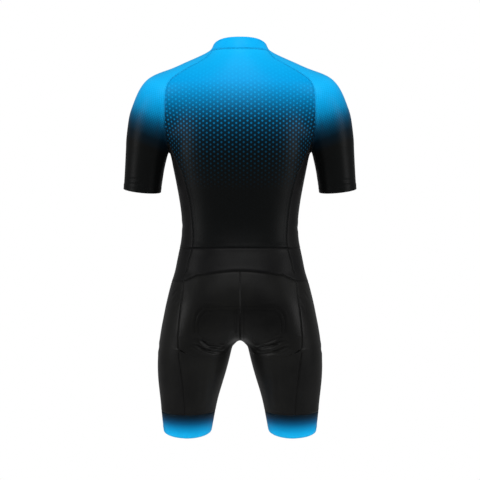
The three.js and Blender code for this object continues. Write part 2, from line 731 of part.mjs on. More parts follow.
// Sleeve: from the neck over the shoulder, then round the arm to the hem, with a seam underneath
function sleeve() {
  const underarmRows = COLUMNS.side / 2;
  const { start, perMm, late } = SLEEVE_LEAN;
  const upper = RAGLAN.map((row) => vector(row.heartX, start + perMm * row.heartX, row.heartZ));
  const underHeart = vector(UNDERARM_HEART.x, UNDERARM_HEART.y, UNDERARM_HEART.z);
  const middle = steps(underarmRows).map((t) =>
    upper.at(-1).clone().lerp(underHeart, (t + late) / (1 + late)),
  );
  const lower = SLEEVE_HEARTS.map(({ x, y, z }) => vector(x, y, z));
  const hearts = [...upper, ...middle, ...lower];
  const rows = hearts.map((heart, i) => {
    const [before, after] = [hearts[Math.max(i - 1, 0)], hearts[Math.min(i + 1, hearts.length - 1)]];
    const way = after.clone().sub(before).normalize();
    const outward = vector(-way.z, 0, way.x).normalize();
    const across = outward.clone().cross(way).normalize();
    if (across.y > 0) across.negate();
    let [back, front] = [raglanBack[i], raglanFront[i]];
    const under = i - upper.length;
    if (under >= 0) [back, front] = [armholeBottom[under], armholeBottom[COLUMNS.side - under]];
    if (under >= underarmRows) {
      back = under === underarmRows ? armholeBottom[underarmRows] : cast(heart, outward.clone().negate());
      front = back;
    }
    return rowRound(back, front, heart, outward, across, COLUMNS.sleeve);
  });
  return [neckAngles.sleeve.map(collarSeamPoint), ...rows];
}

// Collar: a low stand round the neck, open at the front
function collar() {
  const right = [...neckAngles.front.toReversed(), ...neckAngles.sleeve.toReversed().slice(1)].map((a) => -a);
  const left = [...neckAngles.sleeve.slice(1), ...neckAngles.front.slice(1)];
  const angles = [...right, ...neckAngles.back.slice(1), ...left];
  return steps(ROWS.collar).map((t) =>
    angles.map((angle) => onNeck(angle, mix(collarSeamHeight(angle), collarTopHeight(angle), t))),
  );
}

// Waist piece across the back, with an arched lower edge
const hipBack = along(HIP_SEAM_BACK.map(onBack), steps(ROWS.hip));
hipBack[0] = sideBack[0];
const hipFront = along(HIP_SEAM_FRONT.map(onFront), steps(ROWS.hip));
hipFront[0] = sideFront[0];
const archHalf = along([...ARCH_SEAM.slice(0, -1).map(onBack), hipBack[ROWS.hip]], steps(COLUMNS.back / 2));
const arch = [...archHalf.slice(1).reverse().map(mirror), ...archHalf];
function backYoke() {
  return steps(ROWS.hip).map((t, i) => {
    if (i === 0) return backWaist;
    if (i === ROWS.hip) return arch;
    return backWaist.map((p, j) => {
      if (j === 0) return mirror(hipBack[i]);
      if (j === COLUMNS.back) return hipBack[i];
      return settle(p.clone().lerp(arch[j], t));
    });
  });
}

// Side piece between the waist and the end of the arched seam
const hipLower = rowAcross(hipBack[ROWS.hip], hipFront[ROWS.hip], HEARTS.hip, COLUMNS.side);
function hipSide() {
  return steps(ROWS.hip).map((t, i) => {
    if (i === 0) return sideWaist;
    if (i === ROWS.hip) return hipLower;
    return sideWaist.map((p, j) => {
      if (j === 0) return hipBack[i];
      if (j === COLUMNS.side) return hipFront[i];
      return settle(p.clone().lerp(hipLower[j], t));
    });
  });
}

// Edges of the shorts. The centre seam turns under the crotch, where the inside leg seams start.
const crotchPoint = cast(HEARTS.crotch, DOWNWARD);
function underTurn(sign) {
  return CROTCH_TURN.map((turn) => {
    const angle = degrees(turn);
    return cast(HEARTS.crotch, vector(0, sign * Math.cos(angle), -Math.sin(angle)));
  });
}
const seamBehind = CENTRE_SEAM.back.map((z) => onBack({ x: 0, z }));
const seamBefore = CENTRE_SEAM.front.map((z) => onFront({ x: 0, z }));
const centreBack = along(
  [archHalf[0], ...seamBehind, ...underTurn(1), crotchPoint], ROWS_TO_CROTCH,
);
const centreFront = along([...seamBefore, ...underTurn(-1), crotchPoint], ROWS_TO_CROTCH);
const seamInside = INSIDE_LEG.map((z) => {
  const leg = PROFILES.leg(z);
  return cast(vector(leg.x, leg.mid, z), vector(-1, 0, 0));
});
const insideLeg = along([crotchPoint, ...seamInside], [0, ...ROWS_TO_BAND]).slice(1);
function sideSeam(seam, first, project) {
  const upper = seam.filter((row) => row.z > CROTCH).slice(1);
  const lower = seam.filter((row) => row.z < CROTCH);
  const level = project(seam.find((row) => row.z === CROTCH));
  return [
    ...along([first, ...upper.map(project), level], ROWS_TO_CROTCH),
    ...along([level, ...lower.map(project)], [0, ...ROWS_TO_BAND]).slice(1),
  ];
}
const thighBack = sideSeam(THIGH_SEAM_BACK, hipBack[ROWS.hip], onBack);
const thighFront = sideSeam(THIGH_SEAM_FRONT, hipFront[ROWS.hip], onFront);

// The middle of the leg at a height
function legHeart(z, share) {
  const leg = PROFILES.leg(z);
  return vector(leg.x * share, leg.mid, z);
}

// Where a row across the seat or the front is seen from: higher and nearer the centre by the crotch
function shortsHeart(inner, outer, row) {
  const crotchRow = ROWS_TO_CROTCH.length - 1;
  const near = 1 - Math.min(Math.abs(row - crotchRow) / SHORTS_HEART.rows, 1);
  const share = row < crotchRow ? SHORTS_HEART.seat : mix(SHORTS_HEART.leg, SHORTS_HEART.seat, near);
  const heart = legHeart((inner.z + outer.z) / 2, share);
  heart.z += SHORTS_HEART.rise * near;
  return heart;
}

// Back of one leg, from the centre seam and inside leg to the side seam
function seat() {
  const inner = [...centreBack, ...insideLeg];
  return inner.map((p, i) => {
    if (i === 0) return archHalf;
    const heart = shortsHeart(p, thighBack[i], i);
    return rowAcross(p, thighBack[i], heart, COLUMNS.back / 2);
  });
}

// Side of one leg
function thighSide() {
  return thighBack.map((back, i) => {
    if (i === 0) return hipLower;
    const heart = legHeart((back.z + thighFront[i].z) / 2, HEARTS.thigh);
    return rowAcross(back, thighFront[i], heart, COLUMNS.side);
  });
}

// Front of one leg, from the waist seam down
function frontLeg() {
  const upperRows = steps(ROWS.hip).slice(0, -1).map((t, i) => {
    if (i === 0) return frontWaist;
    const inner = onFront({ x: 0, z: mix(WAIST_FRONT, centreFront[0].z, t) });
    const heart = vector(HEARTS.belly.x, HEARTS.belly.y, inner.z);
    return rowAcross(inner, hipFront[i], heart, COLUMNS.front);
  });
  const inner = [...centreFront, ...insideLeg];
  const lowerRows = inner.map((p, i) => {
    const heart = shortsHeart(p, thighFront[i], i);
    return rowAcross(p, thighFront[i], heart, COLUMNS.front);
  });
  return [...upperRows, ...lowerRows];
}

// Leg band: a ring below the leg's pieces, with its seam on the inside leg
function legBand(seatRows, sideRows, frontRows) {
  const top = [...seatRows.at(-1), ...sideRows.at(-1).slice(1), ...frontRows.at(-1).slice(0, -1).reverse()];
  const heart = legHeart(LEG_HEM, 1);
  const hem = top.map((p) => {
    const way = vector(p.x - PROFILES.leg(BAND_SEAM).x, p.y - PROFILES.leg(BAND_SEAM).mid, 0);
    const level = cast(heart, way);
    const z = LEG_HEM - HEM_TILT * (level.y - heart.y);
    return cast(vector(heart.x, heart.y, z), way);
  });
  return steps(ROWS.band).map((t) => {
    if (t === 0) return top;
    if (t === 1) return hem;
    return top.map((p, j) => settle(p.clone().lerp(hem[j], t)));
  });
}

// Points on the surface at a half width to each side of the centre seam, walking along the cloth
function walkAcross(centre, halfWidth, count) {
  const side = [centre];
  let way = LEFTWARD.clone();
  for (let i = 0; i < count; i += 1) {
    const normal = normalAt(side.at(-1));
    way = way.clone().addScaledVector(normal, -way.dot(normal)).normalize();
    side.push(settle(side.at(-1).clone().addScaledVector(way, halfWidth / count)));
  }
  return [...side.slice(1).reverse().map(mirror), ...side];
}

// Seat pad: from the back of the seat under the crotch to the front
function seatPad() {
  const [first, last] = [onBack({ x: 0, z: PAD_BACK }), onFront({ x: 0, z: PAD_FRONT })];
  const line = [first, ...underTurn(1), crotchPoint, ...underTurn(-1).reverse(), last];
  const centres = along(line, PAD_ROWS.map((row) => row.share));
  return PAD_ROWS.map((row, i) => walkAcross(centres[i], row.halfWidth, COLUMNS.pad));
}

// The zip's tapes and coil follow the rows of the front panel and then the collar's end
const zipTop = collarTopHeight(ZIP_ANGLE);
const sliderHeight = zipTop - SLIDER.below;
const frontRows = frontPanel();
const collarRows = collar();
const edgeRows = [...frontRows, ...collarRows.slice(1).map((row) => row.toReversed())];
const centreAt = (row) => onFront({ x: 0, z: row[0].z });
function tapeGrid() {
  return edgeRows.map((row) => {
    const share = (TAPE_HALF_WIDTH - row[0].x) / row[0].distanceTo(row[1]);
    return [centreAt(row), row[0], row[0].clone().lerp(row[1], share)];
  });
}
function coilGrid() {
  const top = sliderHeight - SLIDER.height / 2 - 2 * SEAM_GAP;
  const centres = edgeRows.map(centreAt).filter((p) => p.z < top - 2);
  return [...centres, onFront({ x: 0, z: top })].map((p) => {
    const side = vector(COIL_HALF_WIDTH, 0, 0);
    return [p.clone().sub(side), p, p.clone().add(side)];
  });
}

// A plate drawn across and up, with rounded corners, thick outwards from the cloth
function plate(width, height, thickness, rounding) {
  const [x, z] = [width / 2, height / 2];
  const outline = new THREE.Shape();
  outline.moveTo(-x + rounding, -z);
  outline.lineTo(x - rounding, -z);
  outline.absarc(x - rounding, -z + rounding, rounding, -Math.PI / 2, 0);
  outline.absarc(x - rounding, z - rounding, rounding, 0, Math.PI / 2);
  outline.absarc(-x + rounding, z - rounding, rounding, Math.PI / 2, Math.PI);
  outline.absarc(-x + rounding, -z + rounding, rounding, Math.PI, Math.PI * 1.5);
  const options = { depth: thickness, bevelEnabled: false, curveSegments: 3 };
  return new THREE.ExtrudeGeometry(outline, options).rotateX(Math.PI / 2);
}

// Joins and cuts
function solid(geometry) {
  const bare = new THREE.BufferGeometry().setAttribute("position", geometry.getAttribute("position"));
  const merged = mergeVertices(bare.setIndex(geometry.getIndex()), 1e-4);
  const vertProperties = new Float32Array(merged.getAttribute("position").array);
  const triVerts = new Uint32Array(merged.index.array);
  return new wasm.Manifold(new wasm.Mesh({ numProp: 3, vertProperties, triVerts }));
}
function geometryOf(manifold) {
  const { vertProperties, triVerts } = manifold.getMesh();
  return new THREE.BufferGeometry()
    .setAttribute("position", new THREE.BufferAttribute(vertProperties, 3))
    .setIndex(new THREE.BufferAttribute(triVerts, 1));
}

// Slider: a rounded body with a bridge that holds the pull tab. Its face is at y = -faceOut.
const sliderDepth = WALL;
const faceOut = SLIDER.thickness - sliderDepth;
const pivotOut = faceOut + PULL.clearance + PULL.thickness / 2;
function slider() {
  const body = plate(SLIDER.width, SLIDER.height, SLIDER.thickness, SLIDER.rounding);
  body.translate(0, sliderDepth, 0);
  const { width, height, rise, bar, root, rounding } = BRIDGE;
  const bridge = plate(width, height, rise + root, rounding).translate(0, root - faceOut, 0);
  const hole = new THREE.BoxGeometry(width * 2, rise - bar, height - 2 * bar);
  hole.translate(0, -faceOut - (rise - bar) / 2 - BRIDGE.floor, 0);
  return geometryOf(solid(bridge).subtract(solid(hole)).add(solid(body)));
}

// Pull tab, hanging from its round bar, which is at the origin
function pullTab() {
  const { width, length, thickness, rounding, eyeWidth, eyeLength } = PULL;
  const radius = thickness / 2;
  const bar = new THREE.CylinderGeometry(radius, radius, width, PULL.barSides).rotateZ(Math.PI / 2);
  const tab = plate(width, length, thickness, rounding);
  tab.translate(0, radius, rounding - length / 2);
  const top = new THREE.BoxGeometry(width * 2, thickness * 2, 2 * rounding).translate(0, 0, rounding);
  const eye = new THREE.BoxGeometry(eyeWidth, thickness * 2, eyeLength);
  eye.translate(0, 0, -radius - eyeLength / 2);
  return geometryOf(solid(tab).subtract(solid(top)).subtract(solid(eye)).add(solid(bar)));
}

// The slider lies along the zip. The tab leans out until it is just clear of the cloth below.
const sliderSeat = onFront({ x: 0, z: sliderHeight });
const zipWay = onFront({ x: 0, z: sliderHeight + 4 }).sub(onFront({ x: 0, z: sliderHeight - 4 })).normalize();
const zipHead = new THREE.Group();
zipHead.position.copy(sliderSeat);
zipHead.rotation.x = -Math.asin(zipWay.y);
const pullHinge = new THREE.Group();
pullHinge.position.set(0, -pivotOut, 0);
zipHead.add(pullHinge);
suit.add(zipHead);
function tabTouches() {
  suit.updateMatrixWorld(true);
  return steps(10).some((t) => {
    const p = pullHinge.localToWorld(vector(PULL.width / 2, PULL.thickness / 2, -t * PULL.length));
    return figureDistance(p.x, p.y, p.z) < PULL.clearance;
  });
}
while (tabTouches()) pullHinge.rotation.x -= degrees(1);

// Pieces on the wearer's left that have a mirror image, and pieces that cross the middle
const seatRows = seat();
const thighRows = thighSide();
const frontLegRows = frontLeg();
const pairedPieces = [
  ["side_panel", sidePanel(), blackCloth],
  ["front_panel", frontRows, printedFade],
  ["sleeve", sleeve(), printedFade],
  ["hip_side", hipSide(), blackCloth],
  ["seat", seatRows, blackCloth],
  ["thigh_side", thighRows, blackCloth],
  ["front_leg", frontLegRows, blackCloth],
  ["leg_band", legBand(seatRows, thighRows, frontLegRows), bandPrint],
];
const middlePieces = [
  ["back_panel", backPanel(), printedFade],
  ["collar", collarRows, collarBlue],
  ["back_yoke", backYoke(), blackCloth],
];
for (const [, grid] of [...pairedPieces, ...middlePieces]) noteFacings(grid);
for (const [name, grid, material] of middlePieces) addPiece(name, clothWall(grid), material);
for (const [name, grid, material] of pairedPieces) addPair(name, clothWall(grid), material);
addPiece("seat_pad", clothWall(seatPad(), { thickness: PAD_THICKNESS, depth: WALL + PAD_BEND }), padFoam);
addPair("zip_tape", clothWall(tapeGrid(), { thickness: TAPE_THICKNESS, depth: TAPE_DEPTH }), zipTape);
addPiece(
  "zip_coil",
  clothWall(coilGrid(), { thickness: COIL_THICKNESS, depth: TAPE_DEPTH - 1.5 * SEAM_GAP - COIL_THICKNESS }),
  zipPlastic,
);
addPiece("zip_slider", slider(), zipMetal, zipHead);
addPiece("zip_pull", pullTab(), zipMetal, pullHinge);

export default suit;
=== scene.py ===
# %% [markdown]
# # A triathlon suit, worn by nobody
# The suit is one piece of stretchy knitted cloth, cut in panels and sewn, with short sleeves, legs to
# the middle of the thigh, a zip at the front and a thin pad sewn inside the seat. The frame gives the
# true size and place of every panel. This lesson dresses them: one smooth skin first, then creases,
# seams and stitches, then the printed colours. Numbers are in metres, as in Blender.

# %% Load the frame
import math
import random

import bmesh
import bpy
import numpy as np
from mathutils import Matrix, Vector
from mathutils.bvhtree import BVHTree
from mathutils.kdtree import KDTree


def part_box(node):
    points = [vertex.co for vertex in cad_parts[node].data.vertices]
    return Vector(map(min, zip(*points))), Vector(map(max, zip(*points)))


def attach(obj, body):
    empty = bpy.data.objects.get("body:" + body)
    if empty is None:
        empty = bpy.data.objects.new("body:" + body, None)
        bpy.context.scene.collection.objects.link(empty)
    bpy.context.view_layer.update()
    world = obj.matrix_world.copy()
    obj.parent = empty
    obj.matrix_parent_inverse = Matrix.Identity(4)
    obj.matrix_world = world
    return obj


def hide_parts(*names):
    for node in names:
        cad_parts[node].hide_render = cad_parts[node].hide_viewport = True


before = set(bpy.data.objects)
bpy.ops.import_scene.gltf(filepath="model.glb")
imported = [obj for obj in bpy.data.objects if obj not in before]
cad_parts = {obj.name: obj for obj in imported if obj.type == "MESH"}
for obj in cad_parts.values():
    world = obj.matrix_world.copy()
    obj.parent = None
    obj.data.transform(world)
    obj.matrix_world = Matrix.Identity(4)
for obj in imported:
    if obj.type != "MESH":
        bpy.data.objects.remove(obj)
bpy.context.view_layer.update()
MM = 0.001

# %% [markdown]
# The suit is seen from behind, from a little above its middle, as with a long lens across a studio. A
# long lens keeps the sleeves and the legs at the same scale. The camera comes before everything else,
# because it settles how fine the detail has to be.

# %% Camera
CAMERA_AT = Vector((0.0, 3.0, -0.288))
CAMERA_TARGET = Vector((0.0, 0.0, -0.452))
CAMERA_LENS = 94.15
SENSOR = 36.0

camera_data = bpy.data.cameras.new("studio_camera")
camera_data.lens = CAMERA_LENS
camera_data.sensor_width = SENSOR
camera = bpy.data.objects.new("studio_camera", camera_data)
camera.location = CAMERA_AT
camera.rotation_euler = (CAMERA_TARGET - CAMERA_AT).to_track_quat("-Z", "Y").to_euler()
bpy.context.scene.collection.objects.link(camera)
bpy.context.scene.camera = camera
print("camera: %.2f m away, %.1f mm lens" % ((CAMERA_TARGET - CAMERA_AT).length, CAMERA_LENS))

# %% [markdown]
# A real suit like this is photographed on a stand, against white. Here a pale disc lies where the feet
# of a wearer would be, and a white world lights everything evenly. Two tall soft lights beside the
# suit draw the bright edges along its sides, and a larger one over the camera opens the black cloth.

# %% Floor, world and lights
FLOOR_HEIGHT = -1.5
FLOOR_RADIUS = 1.5


def colour(hex_code):
    """The linear colour of an sRGB hex code."""
    parts = [int(hex_code[i : i + 2], 16) / 255 for i in (1, 3, 5)]
    linear = [p / 12.92 if p <= 0.04045 else ((p + 0.055) / 1.055) ** 2.4 for p in parts]
    return (*linear, 1.0)


def node(tree, kind, links=None, **settings):
    """Add a shader node with its settings; links maps input names or numbers to sockets or values."""
    made = tree.nodes.new(kind)
    for name, value in settings.items():
        setattr(made, name, value)
    for key, value in (links or {}).items():
        if isinstance(value, bpy.types.NodeSocket):
            tree.links.new(value, made.inputs[key])
        else:
            made.inputs[key].default_value = value
    return made


def new_material(name, viewport):
    """An empty material with a Principled shader linked to its output."""
    made = bpy.data.materials.new(name)
    made.use_nodes = True
    made.diffuse_color = colour(viewport)
    tree = made.node_tree
    tree.nodes.clear()
    shader = node(tree, "ShaderNodeBsdfPrincipled")
    node(tree, "ShaderNodeOutputMaterial", {"Surface": shader.outputs["BSDF"]})
    return made, tree, shader


def add_object(name, bm, material):
    """Turn a bmesh into an object of its own, at the origin, with smooth shading."""
    mesh = bpy.data.meshes.new(name)
    bm.to_mesh(mesh)
    bm.free()
    mesh.materials.clear()
    mesh.materials.append(material)
    for polygon in mesh.polygons:
        polygon.use_smooth = True
        polygon.material_index = 0
    made = bpy.data.objects.new(name, mesh)
    bpy.context.scene.collection.objects.link(made)
    return made


floor_paper, tree, shader = new_material("matt_studio_paper", "#f2f2f2")
shader.inputs["Base Color"].default_value = colour("#f4f4f4")
shader.inputs["Roughness"].default_value = 0.9
disc = bmesh.new()
bmesh.ops.create_circle(
    disc, cap_ends=True, segments=96, radius=FLOOR_RADIUS, matrix=Matrix.Translation((0, 0, FLOOR_HEIGHT))
)
floor = add_object("studio_floor", disc, floor_paper)

bpy.context.scene.view_settings.view_transform = "Standard"

WORLD_LIGHT = 0.285
world = bpy.data.worlds.new("white_studio")
world.use_nodes = True
bpy.context.scene.world = world
tree = world.node_tree
tree.nodes.clear()
seen = node(tree, "ShaderNodeLightPath")
lit = node(tree, "ShaderNodeBackground", {"Color": (1, 1, 1, 1), "Strength": WORLD_LIGHT})
backdrop = node(tree, "ShaderNodeBackground", {"Color": (1, 1, 1, 1), "Strength": 1.0})
both = node(
    tree, "ShaderNodeMixShader",
    {0: seen.outputs["Is Camera Ray"], 1: lit.outputs[0], 2: backdrop.outputs[0]},
)
node(tree, "ShaderNodeOutputWorld", {"Surface": both.outputs[0]})


def soft_light(name, place, target, size, power):
    """A rectangular soft box at place, turned to target."""
    data = bpy.data.lights.new(name, "AREA")
    data.shape = "RECTANGLE"
    data.size, data.size_y = size
    data.energy = power
    made = bpy.data.objects.new(name, data)
    made.location = place
    aim = Vector(target) - Vector(place)
    made.rotation_euler = aim.to_track_quat("-Z", "Y").to_euler()
    bpy.context.scene.collection.objects.link(made)


SIDE_SIZE = (0.8, 1.8)
SIDE_POWER = 40
TOP_SIZE = (2.0, 1.2)
TOP_POWER = 62
soft_light("side_light_left", (2.4, 1.0, -0.3), (0, 0, -0.5), SIDE_SIZE, SIDE_POWER)
soft_light("side_light_right", (-2.4, 1.0, -0.3), (0, 0, -0.5), SIDE_SIZE, SIDE_POWER)
soft_light("top_light", (0, 2.4, 1.6), (0, 0, -0.4), TOP_SIZE, TOP_POWER)

# %% [markdown]
# Each panel of the frame is a wall of cloth with an outer face, an inner face and a thin rim. Only the
# outer face matters for the look. On the rim, a triangle has one edge as short as the cloth is thick
# and meets the face beside it at a corner, so the rims can be found, cut away, and the larger of the
# two faces kept.

# %% Outer faces of the panels
CLOTH_NODES = [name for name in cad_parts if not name.startswith("zip") and name != "seat_pad"]
RIM_WIDTH = 3.0 * MM
RIM_CORNER = math.radians(25)
SAME_POINT = 0.01 * MM


def merged_copy(name):
    """A bmesh of a frame node with its loose triangles joined at their points."""
    bm = bmesh.new()
    bm.from_mesh(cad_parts[name].data)
    bmesh.ops.remove_doubles(bm, verts=bm.verts, dist=SAME_POINT)
    return bm


def on_rim(face):
    """True for a triangle of the thin rim between a wall's two faces."""
    edges = sorted(face.edges, key=lambda edge: edge.calc_length())
    if edges[0].calc_length() > RIM_WIDTH:
        return False
    return any(len(e.link_faces) == 2 and e.calc_face_angle() > RIM_CORNER for e in edges[1:])


def islands(bm):
    """The faces of a bmesh in groups that hang together, the largest group first."""
    left = set(bm.faces)
    groups = []
    while left:
        first = left.pop()
        group = [first]
        todo = [first]
        while todo:
            face = todo.pop()
            for edge in face.edges:
                for other in edge.link_faces:
                    if other in left:
                        left.discard(other)
                        group.append(other)
                        todo.append(other)
        groups.append(group)
    return sorted(groups, key=lambda group: -sum(face.calc_area() for face in group))


def outer_face(name, number):
    """The outer face of a panel's wall, as a mesh whose faces carry the panel's number."""
    bm = merged_copy(name)
    bmesh.ops.delete(bm, geom=[face for face in bm.faces if on_rim(face)], context="FACES")
    keep = set(islands(bm)[0])
    bmesh.ops.delete(bm, geom=[face for face in bm.faces if face not in keep], context="FACES")
    for edge in bm.edges:
        edge.seam = edge.is_boundary
    for face in bm.faces:
        face.material_index = number
    mesh = bpy.data.meshes.new(name + "_face")
    bm.to_mesh(mesh)
    bm.free()
    return mesh


# %% [markdown]
# Real panels are sewn edge to edge, so the cloth runs smoothly from one to the next. If each panel were
# smoothed alone, every seam would show as a kink. So all the outer faces are first welded into one
# skin, which is smoothed as a whole. The number on each face remembers which panel it belongs to, and
# the skin is cut apart again later.

# %% One welded skin
SEAM_WELD = 1.0 * MM
FOLD_WELD = 3.2 * MM
CROTCH_HEIGHT = (-0.74, -0.68)
CROTCH_REACH = 0.035
ARMPIT_HEIGHT = (-0.27, -0.20)
ARMPIT_REACH = 0.15
HOLE_SIDES = 6
SMOOTHING_LEVELS = 3

skin = bmesh.new()
for number, name in enumerate(CLOTH_NODES):
    mesh = outer_face(name, number)
    skin.from_mesh(mesh)
    bpy.data.meshes.remove(mesh)
bmesh.ops.remove_doubles(skin, verts=skin.verts, dist=SEAM_WELD)


def is_tight(point):
    """True where the rows of the frame crowd together, at the crotch and in the armpits."""
    crotch = CROTCH_HEIGHT[0] < point.z < CROTCH_HEIGHT[1] and abs(point.x) < CROTCH_REACH
    armpit = ARMPIT_HEIGHT[0] < point.z < ARMPIT_HEIGHT[1] and abs(point.x) > ARMPIT_REACH
    return crotch or armpit


tight = [vertex for vertex in skin.verts if is_tight(vertex.co)]
bmesh.ops.remove_doubles(skin, verts=tight, dist=FOLD_WELD)
bmesh.ops.holes_fill(skin, edges=[e for e in skin.edges if e.is_boundary], sides=HOLE_SIDES)
bmesh.ops.triangulate(skin, faces=[face for face in skin.faces if len(face.verts) > 4])
bmesh.ops.join_triangles(
    skin,
    faces=skin.faces,
    cmp_materials=True,
    angle_face_threshold=math.radians(60),
    angle_shape_threshold=math.radians(80),
)
print("skin:", len(skin.faces), "faces,", sum(1 for e in skin.edges if e.is_boundary), "open edges")

SELF_SEAMED = ("sleeve", "leg_band")
for edge in skin.edges:
    sides = {face.material_index for face in edge.link_faces}
    tube = all(CLOTH_NODES[number].startswith(SELF_SEAMED) for number in sides)
    edge.seam = len(sides) > 1 or (edge.seam and tube)
coarse = bpy.data.meshes.new("suit_skin")
skin.to_mesh(coarse)
skin.free()
for name in CLOTH_NODES:
    coarse.materials.append(bpy.data.materials.new(name))
skin_object = bpy.data.objects.new("suit_skin", coarse)
bpy.context.scene.collection.objects.link(skin_object)

# %% [markdown]
# A pattern on cloth has to follow the cloth, so the skin needs a map of itself laid flat, the way a
# pattern maker lays each panel on the table. Blender's unwrap cuts only at the marked seams. It is done
# on the coarse skin, which is quick, and the smoothing below carries the map along.

# %% The skin laid flat
MAP_NAME = "laid_flat"


def choose(made):
    """Make one object the only selected and the active one, as the operators want it."""
    for other in bpy.context.selected_objects:
        other.select_set(False)
    bpy.context.view_layer.objects.active = made
    made.select_set(True)


coarse.uv_layers.new(name=MAP_NAME)
choose(skin_object)
bpy.ops.object.mode_set(mode="EDIT")
bpy.ops.mesh.select_all(action="SELECT")
bpy.ops.uv.unwrap(method="ANGLE_BASED", margin=0.001)
bpy.ops.object.mode_set(mode="OBJECT")

# %% [markdown]
# Cloth has no facets, so the coarse skin is rounded by subdivision. A modifier does it, and its result is
# kept as a plain mesh, because the creases below have to move single points of it.

# %% Smoothing
smoothing = skin_object.modifiers.new("smoothing", "SUBSURF")
smoothing.levels = SMOOTHING_LEVELS
smoothing.render_levels = SMOOTHING_LEVELS
depsgraph = bpy.context.evaluated_depsgraph_get()
smooth_mesh = bpy.data.meshes.new_from_object(skin_object.evaluated_get(depsgraph))
bpy.data.objects.remove(skin_object)
print("smoothed skin:", len(smooth_mesh.polygons), "faces")

# %% [markdown]
# Everything that is sewn or creased is shaped on this one skin, before it is cut apart, so that a fold
# can run across a seam. The skin's points go into arrays, which makes moving many of them quick.

# %% The skin as arrays
LET_OUT = 0.6 * MM

count = len(smooth_mesh.vertices)
points = np.empty(count * 3)
smooth_mesh.vertices.foreach_get("co", points)
points = points.reshape(-1, 3)
outward = np.empty(count * 3)
smooth_mesh.vertices.foreach_get("normal", outward)
outward = outward.reshape(-1, 3)
skin_tree = BVHTree.FromPolygons([Vector(p) for p in points], [p.vertices[:] for p in smooth_mesh.polygons])
lift = np.full(count, LET_OUT)
VIEWS = {
    "back": (Vector((0, 1, 0)), lambda a, z: Vector((a, 0, z))),
    "front": (Vector((0, -1, 0)), lambda a, z: Vector((a, 0, z))),
    "left": (Vector((1, 0, 0)), lambda a, z: Vector((0, a, z))),
    "right": (Vector((-1, 0, 0)), lambda a, z: Vector((0, a, z))),
}


def laid_line(view, line, step=2.5):
    """Points of a smooth line drawn in a view, in millimetres, laid on the skin."""
    facing, place = VIEWS[view]
    line = np.array(line, float)
    gaps = np.hypot(*np.diff(line, axis=0).T)
    reach = np.concatenate([[0], np.cumsum(gaps)])
    samples = max(int(reach[-1] / step), 8)
    want = np.linspace(0, reach[-1], samples)
    fine = np.stack([np.interp(want, reach, line[:, k]) for k in (0, 1)], axis=1)
    for _ in range(3):
        fine[1:-1] = (fine[:-2] + 2 * fine[1:-1] + fine[2:]) / 4
    laid = []
    for a, z in fine * MM:
        start = place(a, z) + facing
        hit, normal, _, _ = skin_tree.ray_cast(start, -facing)
        if hit is not None:
            laid.append(hit)
    return np.array(laid)


def press(laid, width, depth, beside=0.55, ends=0.7):
    """Sink a soft trough along a laid line, or raise a ridge where depth is negative."""
    if len(laid) < 3:
        return
    width *= MM
    near = np.all((points > laid.min(0) - 3 * width) & (points < laid.max(0) + 3 * width), axis=1)
    index = np.nonzero(near)[0]
    away = np.linalg.norm(points[index][:, None] - laid[None], axis=2)
    nearest = away.argmin(axis=1)
    away = away.min(axis=1)
    along = nearest / (len(laid) - 1)
    fade = np.sin(np.pi * np.clip(along, 0.0, 1.0)) ** ends
    trough = np.exp(-((away / width) ** 2))
    banks = beside * np.exp(-(((away - 2 * width) / width) ** 2))
    lift[index] -= depth * MM * fade * (trough - banks)


# %% [markdown]
# The creases are read from the picture: a few short folds under the seat on each side, where it meets the
# leg, small gathers on the hip below the arched seam, upright pulls beside each armpit, and fine rings
# near the sleeve's hem. They differ in length and depth, as real ones do. The hidden front gets
# quiet creases of the same kind, at the groin, the waist, the armpits and along the zip.

